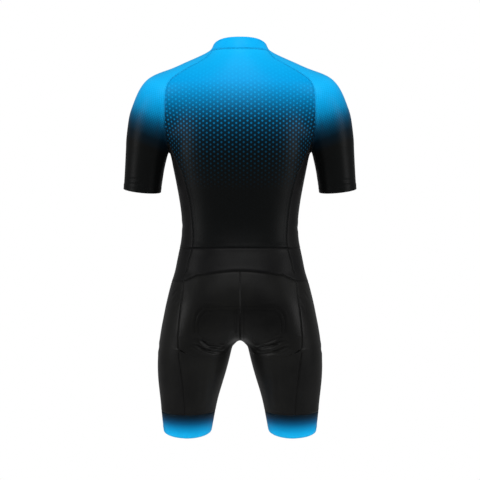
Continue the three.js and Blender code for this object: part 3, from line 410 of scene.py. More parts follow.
# %% Creases
draw = random.Random(11)
CREASES = [
    ("back", [(93, -679), (74, -695), (39, -700)], 3.2, 4.6),
    ("back", [(112, -685), (86, -701), (62, -710), (38, -712)], 3.4, 4.4),
    ("back", [(101, -670), (84, -684), (60, -690)], 2.8, 2.2),
    ("back", [(-107, -677), (-71, -694), (-36, -702)], 3.2, 4.5),
    ("back", [(-116, -690), (-98, -701), (-74, -710)], 3.4, 3.9),
    ("back", [(-92, -705), (-60, -715), (-40, -716)], 2.8, 2.3),
    ("back", [(-96, -667), (-80, -679), (-54, -688)], 2.8, 1.9),
    ("back", [(84, -722), (90, -775), (93, -838)], 7.0, 0.6),
    ("back", [(112, -716), (116, -770), (112, -826)], 7.0, 0.5),
    ("back", [(64, -736), (70, -790), (76, -846)], 6.0, 0.5),
    ("back", [(-86, -724), (-91, -780), (-94, -842)], 7.0, 0.6),
    ("back", [(-110, -718), (-115, -764), (-113, -820)], 7.0, 0.5),
    ("back", [(-62, -738), (-69, -792), (-74, -848)], 6.0, 0.5),
    ("back", [(30, -690), (22, -672), (12, -655)], 5.0, 0.8),
    ("back", [(-31, -690), (-23, -674), (-13, -658)], 5.0, 0.8),
    ("back", [(183, -104), (184, -140), (188, -178), (195, -214)], 4.5, 1.5),
    ("back", [(192, -122), (194, -158), (201, -205)], 5.0, 1.1),
    ("back", [(203, -138), (206, -172), (213, -214)], 6.0, 0.7),
    ("back", [(-182, -108), (-184, -150), (-190, -196)], 4.5, 1.4),
    ("back", [(-191, -118), (-194, -150), (-199, -186)], 5.0, 1.2),
    ("back", [(-204, -146), (-209, -186), (-216, -226)], 6.0, 0.7),
    ("back", [(171, -128), (168, -160), (160, -196)], 5.0, 0.9),
    ("back", [(-171, -124), (-169, -158), (-161, -200)], 5.0, 0.9),
    ("back", [(140, -562), (150, -570), (160, -583)], 3.2, 0.9),
    ("back", [(139, -574), (149, -582), (158, -596)], 3.4, 0.8),
    ("back", [(140, -590), (148, -600), (154, -613)], 3.6, 0.6),
    ("back", [(-140, -564), (-151, -573), (-161, -588)], 3.2, 0.9),
    ("back", [(-139, -577), (-148, -586), (-157, -601)], 3.4, 0.8),
    ("back", [(-141, -596), (-148, -606), (-153, -620)], 3.6, 0.6),
    ("back", [(272, -304), (252, -307), (236, -306)], 3.0, 0.7),
    ("back", [(275, -315), (250, -319), (226, -318)], 3.0, 0.6),
    ("back", [(268, -326), (240, -330), (214, -333)], 3.2, 0.5),
    ("back", [(-273, -306), (-255, -309), (-240, -308)], 3.0, 0.7),
    ("back", [(-270, -318), (-246, -322), (-222, -322)], 3.0, 0.6),
    ("back", [(104, -458), (70, -462), (30, -461)], 7.0, 0.5),
    ("back", [(-102, -452), (-76, -457), (-44, -458)], 7.0, 0.5),
    ("front", [(24, -676), (52, -650), (84, -622), (112, -600)], 5.5, 2.0),
    ("front", [(30, -692), (60, -668), (92, -646)], 5.0, 1.5),
    ("front", [(40, -706), (66, -690), (90, -678)], 4.5, 1.0),
    ("front", [(-23, -678), (-50, -652), (-80, -626), (-108, -606)], 5.5, 1.9),
    ("front", [(-31, -694), (-58, -671), (-88, -652)], 5.0, 1.6),
    ("front", [(-42, -708), (-64, -694), (-86, -684)], 4.5, 0.9),
    ("front", [(14, -668), (10, -640), (12, -612)], 5.0, 1.0),
    ("front", [(-13, -666), (-11, -636), (-9, -606)], 5.0, 0.9),
    ("front", [(178, -120), (178, -156), (184, -196)], 4.5, 1.5),
    ("front", [(188, -136), (191, -170), (198, -212)], 5.0, 1.1),
    ("front", [(-178, -124), (-179, -160), (-186, -204)], 4.5, 1.4),
    ("front", [(-189, -132), (-193, -170), (-199, -206)], 5.0, 1.2),
    ("front", [(165, -150), (150, -172), (128, -190)], 6.0, 1.1),
    ("front", [(-164, -154), (-148, -178), (-124, -198)], 6.0, 1.0),
    ("front", [(160, -180), (146, -204), (130, -222)], 6.0, 0.8),
    ("front", [(-159, -186), (-146, -210), (-128, -228)], 6.0, 0.8),
    ("front", [(14, -420), (50, -428), (88, -424)], 7.0, 0.8),
    ("front", [(-14, -424), (-46, -433), (-80, -431)], 7.0, 0.8),
    ("front", [(16, -452), (48, -459), (76, -458)], 6.0, 0.6),
    ("front", [(-18, -446), (-52, -452), (-90, -447)], 6.0, 0.6),
    ("left", [(-44, -700), (-8, -712), (30, -704)], 6.0, 0.8),
    ("right", [(-40, -706), (-4, -716), (34, -710)], 6.0, 0.8),
    ("left", [(-34, -412), (0, -420), (36, -414)], 6.0, 0.7),
    ("right", [(-36, -418), (-2, -425), (32, -420)], 6.0, 0.7),
]
for view, line, width, depth in CREASES:
    press(laid_line(view, line), width, depth)

PUCKERS = 34
for k in range(PUCKERS):
    height = -60 - 400 * (k + draw.uniform(0.2, 0.8)) / PUCKERS
    for side in (-1, 1):
        reach = draw.uniform(12, 22)
        slope = draw.uniform(-3, 3)
        start = 5 * side
        halfway = (start + side * reach / 2, height + slope / 2)
        line = [(start, height), halfway, (start + side * reach, height + slope)]
        press(laid_line("front", line), 3.2, draw.uniform(0.3, 0.7), beside=0.6)
print("creases:", len(CREASES), "drawn lines,", PUCKERS * 2, "puckers beside the zip")

# %% [markdown]
# The pad inside the seat prints through the cloth as two thin grooves, one inside the other, with a flat
# top edge and rounded corners. Below that edge, rows beside the seat's centre seam hold the pad.

# %% Pad outline
PAD_OUTLINE = [
    (-105, -662), (-105, -640), (-99, -616), (-84, -602), (-40, -600), (0, -600), (40, -600), (84, -602),
    (99, -616), (105, -640), (105, -662),
]
PAD_INNER = [
    (-97, -662), (-97, -640), (-91, -622), (-79, -610), (-40, -608), (0, -608), (40, -608), (79, -610),
    (91, -622), (97, -640), (97, -662),
]
SEAT_ROWS = [
    [(8, -602), (8, -630), (8, -662), (7, -680)],
    [(13, -604), (13, -632), (11, -664)],
    [(-9, -602), (-9, -630), (-9, -662), (-8, -680)],
]
for line in (PAD_OUTLINE, PAD_INNER):
    press(laid_line("back", line), 2.6, 1.3, beside=0.5, ends=0.25)
for line in SEAT_ROWS:
    press(laid_line("back", line), 2.2, 0.8, beside=0.6, ends=0.25)

# %% [markdown]
# At each seam two layers are joined edge to edge under flat cover stitches, which pull the cloth in
# along the join and leave a soft swelling on each side. The hems are turned up and sewn, so they are
# a layer thicker.

# %% Seam grooves and hems
SEAM_DEPTH = 0.28 * MM
SEAM_SWELL = 0.18 * MM
HEM_LIFT = 0.35 * MM
HEM_WIDTH = 13 * MM

edge_count = len(smooth_mesh.edges)
edge_points = np.empty(edge_count * 2, int)
smooth_mesh.edges.foreach_get("vertices", edge_points)
edge_points = edge_points.reshape(-1, 2)
is_seam = np.zeros(edge_count, bool)
smooth_mesh.edges.foreach_get("use_seam", is_seam)
uses = np.zeros(edge_count, int)
loop_edges = np.empty(len(smooth_mesh.loops), int)
smooth_mesh.loops.foreach_get("edge_index", loop_edges)
np.add.at(uses, loop_edges, 1)
is_open = uses == 1
is_join = is_seam & ~is_open
print("seam edges:", int(is_join.sum()), "open edges:", int(is_open.sum()))

FAR_RING = 9
rings = np.full(count, FAR_RING)
rings[edge_points[is_join].ravel()] = 0
for ring in range(1, 4):
    for a, b in ((0, 1), (1, 0)):
        touching = rings[edge_points[:, a]] == ring - 1
        fresh = edge_points[touching, b]
        rings[fresh[rings[fresh] == FAR_RING]] = ring
lift[rings == 0] -= SEAM_DEPTH
lift[rings == 1] += SEAM_SWELL / 2
lift[rings == 2] += SEAM_SWELL

HEM_EDGE = 2 * MM
LEG_HEM = -0.9
NEAR_LEG_HEM = LEG_HEM + 0.05
CUFF_REACH = 0.18
CUFF_HEIGHT = -0.28
NEAR_CUFF = -0.25


def low_on_sleeve(places, height):
    """True for the points on a sleeve that lie lower than a height."""
    return (np.abs(places[:, 0]) > CUFF_REACH) & (places[:, 2] < height)


open_points = points[np.unique(edge_points[is_open])]
is_hem = (open_points[:, 2] < LEG_HEM) | low_on_sleeve(open_points, CUFF_HEIGHT)
hems = KDTree(int(is_hem.sum()))
for index, point in enumerate(open_points[is_hem]):
    hems.insert(point, index)
hems.balance()
may_hem = (points[:, 2] < NEAR_LEG_HEM) | low_on_sleeve(points, NEAR_CUFF)
for index in np.nonzero(may_hem)[0]:
    away = hems.find(points[index])[2]
    lift[index] += HEM_LIFT * min(max((HEM_WIDTH - away) / HEM_EDGE, 0), 1)

# Smoothing rounds the crotch and lets it down, so it is raised again by this much.
CROTCH_DROP = 6 * MM
CROTCH_APEX = -0.699
CROTCH_SPREAD = (14 * MM, 60 * MM, 13 * MM)

moved = points + outward * lift[:, None]
from_apex = (points - np.array((0, 0, CROTCH_APEX))) / np.array(CROTCH_SPREAD)
moved[:, 2] += CROTCH_DROP * np.exp(-(from_apex**2).sum(axis=1))
smooth_mesh.vertices.foreach_set("co", moved.ravel())
smooth_mesh.update()
shaped_tree = BVHTree.FromPolygons([Vector(p) for p in moved], [p.vertices[:] for p in smooth_mesh.polygons])

# %% [markdown]
# The cloth is a warp-knitted jersey of polyester and elastane, about a millimetre thick. Its fine
# upright wales and level courses catch the light as a soft satin. The black pieces are dyed, and the
# blue ones are white cloth printed by sublimation, so their inner side stays pale. Each material reads
# a map that follows its own panel as if it lay flat, so the knit runs with the cloth.

# %% The knitted cloth
WALE = 1.6 * MM
COURSE = 2.0 * MM
HATCH = 4.8 * MM


def wave_scale(period):
    """The Wave texture's scale for bands this far apart."""
    return math.pi / (10 * period)


def cloth_map(tree):
    """The map that follows a panel as if it lay flat."""
    return node(tree, "ShaderNodeUVMap", uv_map=MAP_NAME).outputs["UV"]


def knit_relief(tree, shader, strength=0.5):
    """Wales and courses as bump. Real wales are 0.6 mm apart, drawn coarser here so that they show."""
    flat = cloth_map(tree)
    wales = node(tree, "ShaderNodeTexWave", {"Vector": flat, "Scale": wave_scale(WALE)}, bands_direction="X")
    courses = node(tree, "ShaderNodeTexWave", {"Vector": flat, "Scale": wave_scale(COURSE)}, bands_direction="Y")
    loops = node(tree, "ShaderNodeMath", {0: wales.outputs["Fac"], 1: courses.outputs["Fac"]}, operation="MULTIPLY")
    place = node(tree, "ShaderNodeTexCoord").outputs["Object"]
    pull = node(tree, "ShaderNodeTexNoise", {"Vector": place, "Scale": 14.0, "Detail": 2.0})
    fine = node(tree, "ShaderNodeBump", {"Height": loops.outputs[0], "Strength": strength, "Distance": 0.12 * MM})
    soft = node(
        tree, "ShaderNodeBump",
        {"Height": pull.outputs["Fac"], "Strength": 0.35, "Distance": 2.5 * MM, "Normal": fine.outputs["Normal"]},
    )
    tree.links.new(soft.outputs["Normal"], shader.inputs["Normal"])


def cloth_surface(shader, gloss=0.045, roughness=0.42, sheen=0.012):
    """Filament polyester: little specular light, and a faint nap that shows at the edges."""
    shader.inputs["Specular IOR Level"].default_value = gloss
    shader.inputs["Roughness"].default_value = roughness
    shader.inputs["Sheen Weight"].default_value = sheen
    shader.inputs["Sheen Roughness"].default_value = 0.4


def fade_colour(tree, position, stops):
    """The print's colour along a fade, from stops of place and hex colour."""
    ramp = node(tree, "ShaderNodeValToRGB", {"Fac": position})
    while len(ramp.color_ramp.elements) < len(stops):
        ramp.color_ramp.elements.new(0.5)
    for element, (place, code) in zip(ramp.color_ramp.elements, stops):
        element.position = place
        element.color = colour(code)
    return ramp.outputs["Color"]


def height_share(tree, top, bottom, lean=0.0):
    """How far down a fade a point is, from 0 at top to 1 at bottom, leaning up towards the outside."""
    place = node(tree, "ShaderNodeTexCoord").outputs["Object"]
    parts = node(tree, "ShaderNodeSeparateXYZ", {0: place})
    side = node(tree, "ShaderNodeMath", {0: parts.outputs["X"]}, operation="ABSOLUTE")
    leaning = node(
        tree, "ShaderNodeMath",
        {0: side.outputs[0], 1: -lean, 2: parts.outputs["Z"]}, operation="MULTIPLY_ADD",
    )
    share = node(tree, "ShaderNodeMapRange", {"Value": leaning.outputs[0], "From Min": top, "From Max": bottom})
    return share.outputs["Result"]


def hatched(tree, position, amount, faded=1.0):
    """The fade broken up by fine crossing lines, as the print's screen leaves them.

    The lines weaken down the fade, until at the share faded of it they are gone."""
    flat = cloth_map(tree)
    mottle = node(tree, "ShaderNodeTexNoise", {"Vector": flat, "Scale": 160.0, "Detail": 3.0})
    total = mottle.outputs["Fac"]
    for turn in (38, -38):
        turned = node(tree, "ShaderNodeMapping", {"Vector": flat, "Rotation": (0, 0, math.radians(turn))})
        lines = node(tree, "ShaderNodeTexWave", {"Vector": turned.outputs[0], "Scale": wave_scale(HATCH)})
        total = node(tree, "ShaderNodeMath", {0: lines.outputs["Fac"], 1: total}, operation="ADD").outputs[0]
    middle = node(tree, "ShaderNodeMath", {0: total, 1: 1.5}, operation="SUBTRACT")
    weight = node(
        tree, "ShaderNodeMapRange",
        {"Value": position, "From Min": 0.0, "From Max": faded, "To Min": amount, "To Max": 0.0},
    )
    return node(
        tree, "ShaderNodeMath",
        {0: middle.outputs[0], 1: weight.outputs["Result"], 2: position}, operation="MULTIPLY_ADD",
    ).outputs[0]


# %% [markdown]
# The black cloth is not one flat black. The knit's mesh of dark gaps and shiny loops makes a slow
# change from place to place, drawn here by a large soft noise.

# %% Dyed black jersey
def black_jersey(name, code, light_code, gloss):
    """Black jersey that drifts slowly between two near blacks."""
    material, tree, shader = new_material(name, code)
    place = node(tree, "ShaderNodeTexCoord").outputs["Object"]
    cloud = node(tree, "ShaderNodeTexNoise", {"Vector": place, "Scale": 9.0, "Detail": 3.0})
    tone = fade_colour(tree, cloud.outputs["Fac"], [(0.35, code), (0.68, light_code)])
    tree.links.new(tone, shader.inputs["Base Color"])
    cloth_surface(shader, gloss=gloss, roughness=0.38)
    knit_relief(tree, shader)
    return material


MATERIALS = {
    "black_cloth": black_jersey("dyed_black_jersey", "#0a0a0b", "#131313", 0.05),
    "shorts_cloth": black_jersey("dyed_black_power_jersey", "#0a0a0a", "#131312", 0.07),
}

# %% [markdown]
# The upper back is a printed fade from bright blue at the neck to black above the waist. Over it lies
# a lattice of round dots, each row shifted by half a step, like a print screen. The dots fade more
# slowly than the ground, so they appear as the ground darkens and sink into black themselves lower
# down.

# %% Printed fade with dots
FADE_TOP = 0.0
FADE_BOTTOM = -0.36
BACK_FADE = [
    (0.0, "#0dabe9"), (0.21, "#0192d2"), (0.33, "#026a9b"), (0.40, "#024a6e"), (0.47, "#02293d"),
    (0.54, "#021a28"), (0.61, "#020e15"), (0.70, "#04080a"), (0.90, "#080909"),
]
DOT_FADE = [
    (0.0, "#0dabe9"), (0.25, "#0197d6"), (0.36, "#027fb8"), (0.47, "#02699a"), (0.54, "#034f73"),
    (0.61, "#043b56"), (0.69, "#04283a"), (0.79, "#041822"), (0.92, "#080a0b"),
]
DOT_STEP = Vector((16.7 * MM, 10.7 * MM))
DOT_RADIUS = 2.4 * MM


def dots(tree, offset):
    """1 inside the dots of one square lattice, 0 between them. Two lattices make the staggered one."""
    step = DOT_STEP
    shifted = node(tree, "ShaderNodeMapping", {"Vector": cloth_map(tree), "Location": (offset[0], offset[1], 0)})
    parts = node(tree, "ShaderNodeSeparateXYZ", {0: shifted.outputs[0]})
    from_middle = []
    for axis, size in (("X", step[0]), ("Y", step[1])):
        within = node(tree, "ShaderNodeMath", {0: parts.outputs[axis], 1: size / 2}, operation="PINGPONG")
        from_middle.append(within.outputs[0])
    flat = node(tree, "ShaderNodeCombineXYZ", {0: from_middle[0], 1: from_middle[1]})
    away = node(tree, "ShaderNodeVectorMath", {0: flat.outputs[0]}, operation="LENGTH")
    inside = node(
        tree, "ShaderNodeMapRange",
        {"Value": away.outputs["Value"], "From Min": DOT_RADIUS * 1.15, "From Max": DOT_RADIUS * 0.7},
    )
    return inside.outputs["Result"]


def printed_jersey(name):
    """Jersey printed with the fade and, over it, the staggered dots."""
    material, tree, shader = new_material(name, "#05689c")
    share = height_share(tree, FADE_TOP, FADE_BOTTOM)
    ground = fade_colour(tree, share, BACK_FADE)
    dot_colour = fade_colour(tree, share, DOT_FADE)
    first = dots(tree, (0, 0))
    second = dots(tree, (DOT_STEP[0] / 2, DOT_STEP[1] / 2))
    mask = node(tree, "ShaderNodeMath", {0: first, 1: second}, operation="MAXIMUM")
    # In the Mix node, inputs 6 and 7 and output 2 are the ones for colours.
    mix = node(tree, "ShaderNodeMix", data_type="RGBA")
    tree.links.new(mask.outputs[0], mix.inputs["Factor"])
    tree.links.new(ground, mix.inputs[6])
    tree.links.new(dot_colour, mix.inputs[7])
    tree.links.new(mix.outputs[2], shader.inputs["Base Color"])
    cloth_surface(shader)
    knit_relief(tree, shader, strength=0.35)
    return material


MATERIALS["printed_cloth"] = printed_jersey("sublimation_printed_jersey")

# %% [markdown]
# On the sleeve the same blue ends in black along a slanting line, higher on the outside of the arm
# than beside the body, with fine crossing lines where the colours meet. The leg bands do it the other
# way up, from near black at their seam to bright blue at the hem. The collar is plain blue.

# %% Sleeves, leg bands and collar
SLEEVE_LEAN = 0.4
SLEEVE_MIDDLE = 0.22
SLEEVE_FADE_TOP = -0.07 - SLEEVE_LEAN * SLEEVE_MIDDLE
SLEEVE_FADE_BOTTOM = -0.27 - SLEEVE_LEAN * SLEEVE_MIDDLE
SLEEVE_FADE = [
    (0.0, "#14aae8"), (0.14, "#0a9bd8"), (0.26, "#058ac2"), (0.36, "#0477a8"),
    (0.43, "#035b83"), (0.50, "#033f5d"), (0.58, "#03273a"), (0.67, "#03111a"), (0.80, "#090a0a"),
]
BAND_FADE = [
    (0.0, "#030e14"), (0.17, "#021d2d"), (0.38, "#024a74"),
    (0.62, "#0286bc"), (0.85, "#0fa5e0"), (1.0, "#17b1e9"),
]
BAND_TOP = -0.866
BAND_BOTTOM = -0.923
SLEEVE_HATCH = 0.065
BAND_HATCH = 0.2
BAND_HATCH_END = 0.6


def faded_jersey(name, top, bottom, lean, stops, hatch, faded=1.0):
    """Jersey printed with a fade alone, its colours crossing in fine lines."""
    material, tree, shader = new_material(name, stops[len(stops) // 2][1])
    share = hatched(tree, height_share(tree, top, bottom, lean), hatch, faded)
    tree.links.new(fade_colour(tree, share, stops), shader.inputs["Base Color"])
    cloth_surface(shader)
    knit_relief(tree, shader, strength=0.35)
    return material


MATERIALS["sleeve_cloth"] = faded_jersey(
    "sublimation_printed_sleeve_jersey",
    SLEEVE_FADE_TOP, SLEEVE_FADE_BOTTOM, SLEEVE_LEAN, SLEEVE_FADE, SLEEVE_HATCH,
)
MATERIALS["band_cloth"] = faded_jersey(
    "sublimation_printed_band_jersey",
    BAND_TOP, BAND_BOTTOM, 0.0, BAND_FADE, BAND_HATCH, faded=BAND_HATCH_END,
)
collar_material, tree, shader = new_material("sublimation_printed_collar_jersey", "#0caff2")
place = node(tree, "ShaderNodeTexCoord").outputs["Object"]
cloud = node(tree, "ShaderNodeTexNoise", {"Vector": place, "Scale": 24.0, "Detail": 2.0})
collar_blue = fade_colour(tree, cloud.outputs["Fac"], [(0.3, "#079fdf"), (0.7, "#0ca8e8")])
tree.links.new(collar_blue, shader.inputs["Base Color"])
cloth_surface(shader)
knit_relief(tree, shader, strength=0.35)
MATERIALS["collar_cloth"] = collar_material

# %% [markdown]
# The small parts are seen at a distance, so they share one recipe: a fine grain that shifts the colour a
# little and roughens the surface. Spun thread, foam and woven tape are matt. The nylon coil is shinier,
# and the slider is cast zinc under black lacquer, which the coat stands for.

# %% Inner side, pad, thread and zip materials
def small_material(name, code, roughness, gloss=0.3, metallic=0.0, coat=0.0):
    """A finely grained surface in one colour and a darker shade of it."""
    material, tree, shader = new_material(name, code)
    place = node(tree, "ShaderNodeTexCoord").outputs["Object"]
    grain = node(tree, "ShaderNodeTexNoise", {"Vector": place, "Scale": 900.0, "Detail": 2.0})
    dark = "#" + "".join("%02x" % int(int(code[i : i + 2], 16) * 0.8) for i in (1, 3, 5))
    tree.links.new(fade_colour(tree, grain.outputs["Fac"], [(0.35, dark), (0.65, code)]), shader.inputs["Base Color"])
    shader.inputs["Roughness"].default_value = roughness
    shader.inputs["Specular IOR Level"].default_value = gloss
    shader.inputs["Metallic"].default_value = metallic
    shader.inputs["Coat Weight"].default_value = coat
    bump = node(tree, "ShaderNodeBump", {"Height": grain.outputs["Fac"], "Strength": 0.3, "Distance": 0.08 * MM})
    tree.links.new(bump.outputs["Normal"], shader.inputs["Normal"])
    return material


UNPRINTED = small_material("unprinted_jersey_reverse", "#c3ced3", 0.75, gloss=0.15)
THREAD = small_material("black_polyester_thread", "#121213", 0.5, gloss=0.08)
DARK_THREAD = small_material("black_elastic_overlock_thread", "#050506", 0.6, gloss=0.05)
BLUE_THREAD = small_material("blue_polyester_thread", "#0a8fd0", 0.5, gloss=0.1)
MATERIALS["pad_foam"] = small_material("foam_backed_pad_jersey", "#23303a", 0.8, gloss=0.15)
MATERIALS["zip_tape"] = small_material("woven_polyester_zip_tape", "#101011", 0.7)
MATERIALS["zip_coil"] = small_material("nylon_coil", "#131314", 0.35, gloss=0.5)
MATERIALS["zip_metal"] = small_material("black_lacquered_zinc", "#17171a", 0.3, gloss=0.5, metallic=0.5, coat=0.4)

# %% [markdown]
# Now the skin is cut along its seams into the tailor's pieces, and each gets a wall as thick as the
# cloth. Its part of the map is turned and scaled so that it reads in metres, with the wearer's up as its
# up. Worn cloth is stretched, so the size it was cut to is smaller than the map.

# %% Cutting the skin into panels
CLOTH_WALL = 1.3 * MM
STRETCH = 1.12
# A bent strip fills less than this share of the box round its map, so its cut is given as if unbent.
BENT_SHARE = 0.35
PRINTED = {"printed_cloth", "sleeve_cloth", "band_cloth", "collar_cloth"}
SLOTS = {name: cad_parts[name].data.materials[0].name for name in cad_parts}


def lay_flat(mesh):
    """Scale and turn a panel's map so that it reads in metres, and return its width and length."""
    corner = np.empty(len(mesh.loops), int)
    mesh.loops.foreach_get("vertex_index", corner)
    flat = np.empty(len(mesh.loops) * 2)
    mesh.uv_layers[MAP_NAME].data.foreach_get("uv", flat)
    flat = flat.reshape(-1, 2)
    place = np.empty(len(mesh.vertices) * 3)
    mesh.vertices.foreach_get("co", place)
    place = place.reshape(-1, 3)[corner]
    starts = np.empty(len(mesh.polygons), int)
    mesh.polygons.foreach_get("loop_start", starts)
    a, b, c = (flat[starts + k] for k in range(3))
    p, q, r = (place[starts + k] for k in range(3))
    turned = (b - a)[:, 0] * (c - a)[:, 1] - (b - a)[:, 1] * (c - a)[:, 0]
    true_area = np.linalg.norm(np.cross(q - p, r - p), axis=1).sum()
    flat *= math.sqrt(true_area / np.abs(turned).sum())
    if turned.sum() < 0:
        flat[:, 0] *= -1
    ask = np.column_stack([flat, np.ones(len(flat))])
    up = np.linalg.lstsq(ask, place[:, 2], rcond=None)[0][:2]
    turn = math.pi / 2 - math.atan2(up[1], up[0])
    spin = np.array([[math.cos(turn), -math.sin(turn)], [math.sin(turn), math.cos(turn)]])
    flat = flat @ spin.T
    middle = np.abs(place[:, 0]) < 3 * MM
    anchor = middle if middle.any() else np.ones(len(flat), bool)
    flat[:, 0] -= flat[anchor, 0].mean()
    flat[:, 1] += place[anchor, 2].mean() - flat[anchor, 1].mean()
    mesh.uv_layers[MAP_NAME].data.foreach_set("uv", flat.ravel())
    span = np.percentile(flat, (1, 99), axis=0)
    return span[1] - span[0]


smooth_polygons = [
    (face.material_index, face.vertices[:], [smooth_mesh.loops[k].edge_index for k in face.loop_indices])
    for face in smooth_mesh.polygons
]
skin_object = bpy.data.objects.new("suit_skin", smooth_mesh)
bpy.context.scene.collection.objects.link(skin_object)
smooth_mesh.polygons.foreach_set("use_smooth", np.ones(len(smooth_mesh.polygons), bool))
choose(skin_object)
bpy.ops.mesh.separate(type="MATERIAL")
PANELS = {made.data.materials[0].name: made for made in bpy.context.selected_objects}
for name, made in PANELS.items():
    mesh = made.data
    made.name = name + "_cloth"
    mesh.name = name + "_cloth"
    label = mesh.materials[0]
    mesh.materials[0] = MATERIALS[SLOTS[name]]
    bpy.data.materials.remove(label)
    area = sum(face.area for face in mesh.polygons)
    width, length = lay_flat(mesh)
    wall = made.modifiers.new("cloth_wall", "SOLIDIFY")
    wall.thickness = CLOTH_WALL
    wall.offset = -1
    if SLOTS[name] in PRINTED:
        mesh.materials.append(UNPRINTED)
        wall.material_offset = 1
    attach(made, "suit")
    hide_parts(name)
    cut_area = area / STRETCH
    cut = (width / math.sqrt(STRETCH), length / math.sqrt(STRETCH))
    if cut_area < BENT_SHARE * cut[0] * cut[1]:
        cut = (max(cut), cut_area / max(cut))
    print("%s: %d faces, cut %.3f x %.3f m, %.4f m2" % (name, len(mesh.polygons), *cut, cut_area))

# %% [markdown]
# Cover stitches run in rows along both sides of every seam, and above the hems. One stitch shows as a
# bead of thread about 2.5 mm long. It starts as a small ball, stretched along its seam.

# %% Stitches
THREAD_RADIUS = 0.42 * MM
STITCH_SHARE = 0.36
SHORTEST = 1.2 * MM

ball = bmesh.new()
bmesh.ops.create_uvsphere(ball, u_segments=4, v_segments=3, radius=1)
ball.verts.ensure_lookup_table()
BEAD_POINTS = np.array([vertex.co[:] for vertex in ball.verts])
BEAD_FACES = [[vertex.index for vertex in face.verts] for face in ball.faces]
ball.free()


def join_beads(name, placed, material):
    """One mesh of beads that are already in place, riding on the suit."""
    step = len(BEAD_POINTS)
    faces = [[index + step * k for index in face] for k in range(len(placed)) for face in BEAD_FACES]
    mesh = bpy.data.meshes.new(name)
    mesh.from_pydata(np.concatenate(placed), [], faces)
    mesh.materials.append(material)
    mesh.polygons.foreach_set("use_smooth", np.ones(len(faces), bool))
    made = bpy.data.objects.new(name, mesh)
    bpy.context.scene.collection.objects.link(made)
    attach(made, "suit")
    print("%s: %d beads" % (name, len(placed)))


def sew(name, starts, ends, material, slot, radius=THREAD_RADIUS):
    """Stitches, one bead between each start and end, moved onto the cloth below it."""
    placed = []
    for p, q in zip(starts, ends):
        length = np.linalg.norm(q - p)
        if length < SHORTEST:
            continue
        hit, facing, _, _ = shaped_tree.find_nearest((p + q) / 2)
        along = Vector((q - p) / length)
        side = facing.cross(along).normalized()
        turn = np.array((along * length * STITCH_SHARE, side * radius, facing * radius * 0.8))
        placed.append(BEAD_POINTS @ turn + np.array(hit + facing * radius * 0.3))
    join_beads(name, placed, material)


def rows_beside(edges, panels, distances):
    """Starts and ends of rows beside the given edges, on the side of the named panels."""
    starts, ends = [], []
    numbers = [CLOTH_NODES.index(panel) for panel in panels]
    for side in (0, 1):
        faces = edge_faces[edges, side]
        here = edges[(faces >= 0) & np.isin(face_panel[faces], numbers)]
        a, b = edge_points[here].T
        along = moved[b] - moved[a]
        along /= np.linalg.norm(along, axis=1)[:, None] + 1e-12
        inward = face_middle[edge_faces[here, side]] - moved[a]
        inward -= along * (inward * along).sum(axis=1)[:, None]
        inward /= np.linalg.norm(inward, axis=1)[:, None] + 1e-12
        for distance in distances:
            starts.append(moved[a] + inward * distance * MM)
            ends.append(moved[b] + inward * distance * MM)
    return [np.concatenate(part) for part in (starts, ends)]


def drawn_rows(lines, view="back"):
    """Starts and ends of rows along lines drawn in a view."""
    laid = [laid_line(view, line, step=STITCH_LENGTH) for line in lines]
    starts = np.concatenate([line[:-1] for line in laid])
    ends = np.concatenate([line[1:] for line in laid])
    return [starts, ends]


def together(*rows):
    """Several sets of rows as one."""
    return [np.concatenate(part) for part in zip(*rows)]


# %% [markdown]
# Every face knows its panel and every edge its faces, so a row can be asked for by name: beside this
# seam, on that panel, so many millimetres away. The two rows at each seam are the cover stitch itself.
# The others hold the seam's allowance flat on the inner side, as at the waist, the sides and the cuffs.

# %% Rows of stitches
STITCH_LENGTH = 2.5
SEAM_ROW = 2.2
SIDE_ROWS = (4.5, 10.0)
WAIST_ROWS = (8.5, 12.5)
HIP_ROWS = (11.5,)
CUFF_ROWS = (9.0, 12.0)
BAND_ROW = (4.0,)
EDGE_ROW = (3.0,)
PAD_THREAD_RADIUS = 0.6 * MM

face_panel = np.empty(len(smooth_polygons), int)
face_middle = np.empty((len(smooth_polygons), 3))
edge_faces = np.full((edge_count, 2), -1)
for index, (panel, corners, edges) in enumerate(smooth_polygons):
    face_panel[index] = panel
    face_middle[index] = moved[list(corners)].mean(axis=0)
    for edge in edges:
        edge_faces[edge, 0 if edge_faces[edge, 0] < 0 else 1] = index

joins = np.nonzero(is_join)[0]
opens = np.nonzero(is_open)[0]
middles = moved[edge_points].mean(axis=1)
every = CLOTH_NODES
WAIST = -0.46
BLUE_PART = -0.15
high = joins[(middles[joins, 2] > WAIST) & (middles[joins, 2] <= BLUE_PART)]
blue = joins[middles[joins, 2] > BLUE_PART]
low = joins[middles[joins, 2] <= WAIST]


def seam_of(first, second):
    """The edges where a panel of one kind meets one of another kind."""
    one = [number for number, name in enumerate(CLOTH_NODES) if name.startswith(first)]
    two = [number for number, name in enumerate(CLOTH_NODES) if name.startswith(second)]
    a, b = face_panel[edge_faces[joins]].T
    return joins[(np.isin(a, one) & np.isin(b, two)) | (np.isin(a, two) & np.isin(b, one))]


def named(start):
    """The panels whose names begin so."""
    return [name for name in CLOTH_NODES if name.startswith(start)]


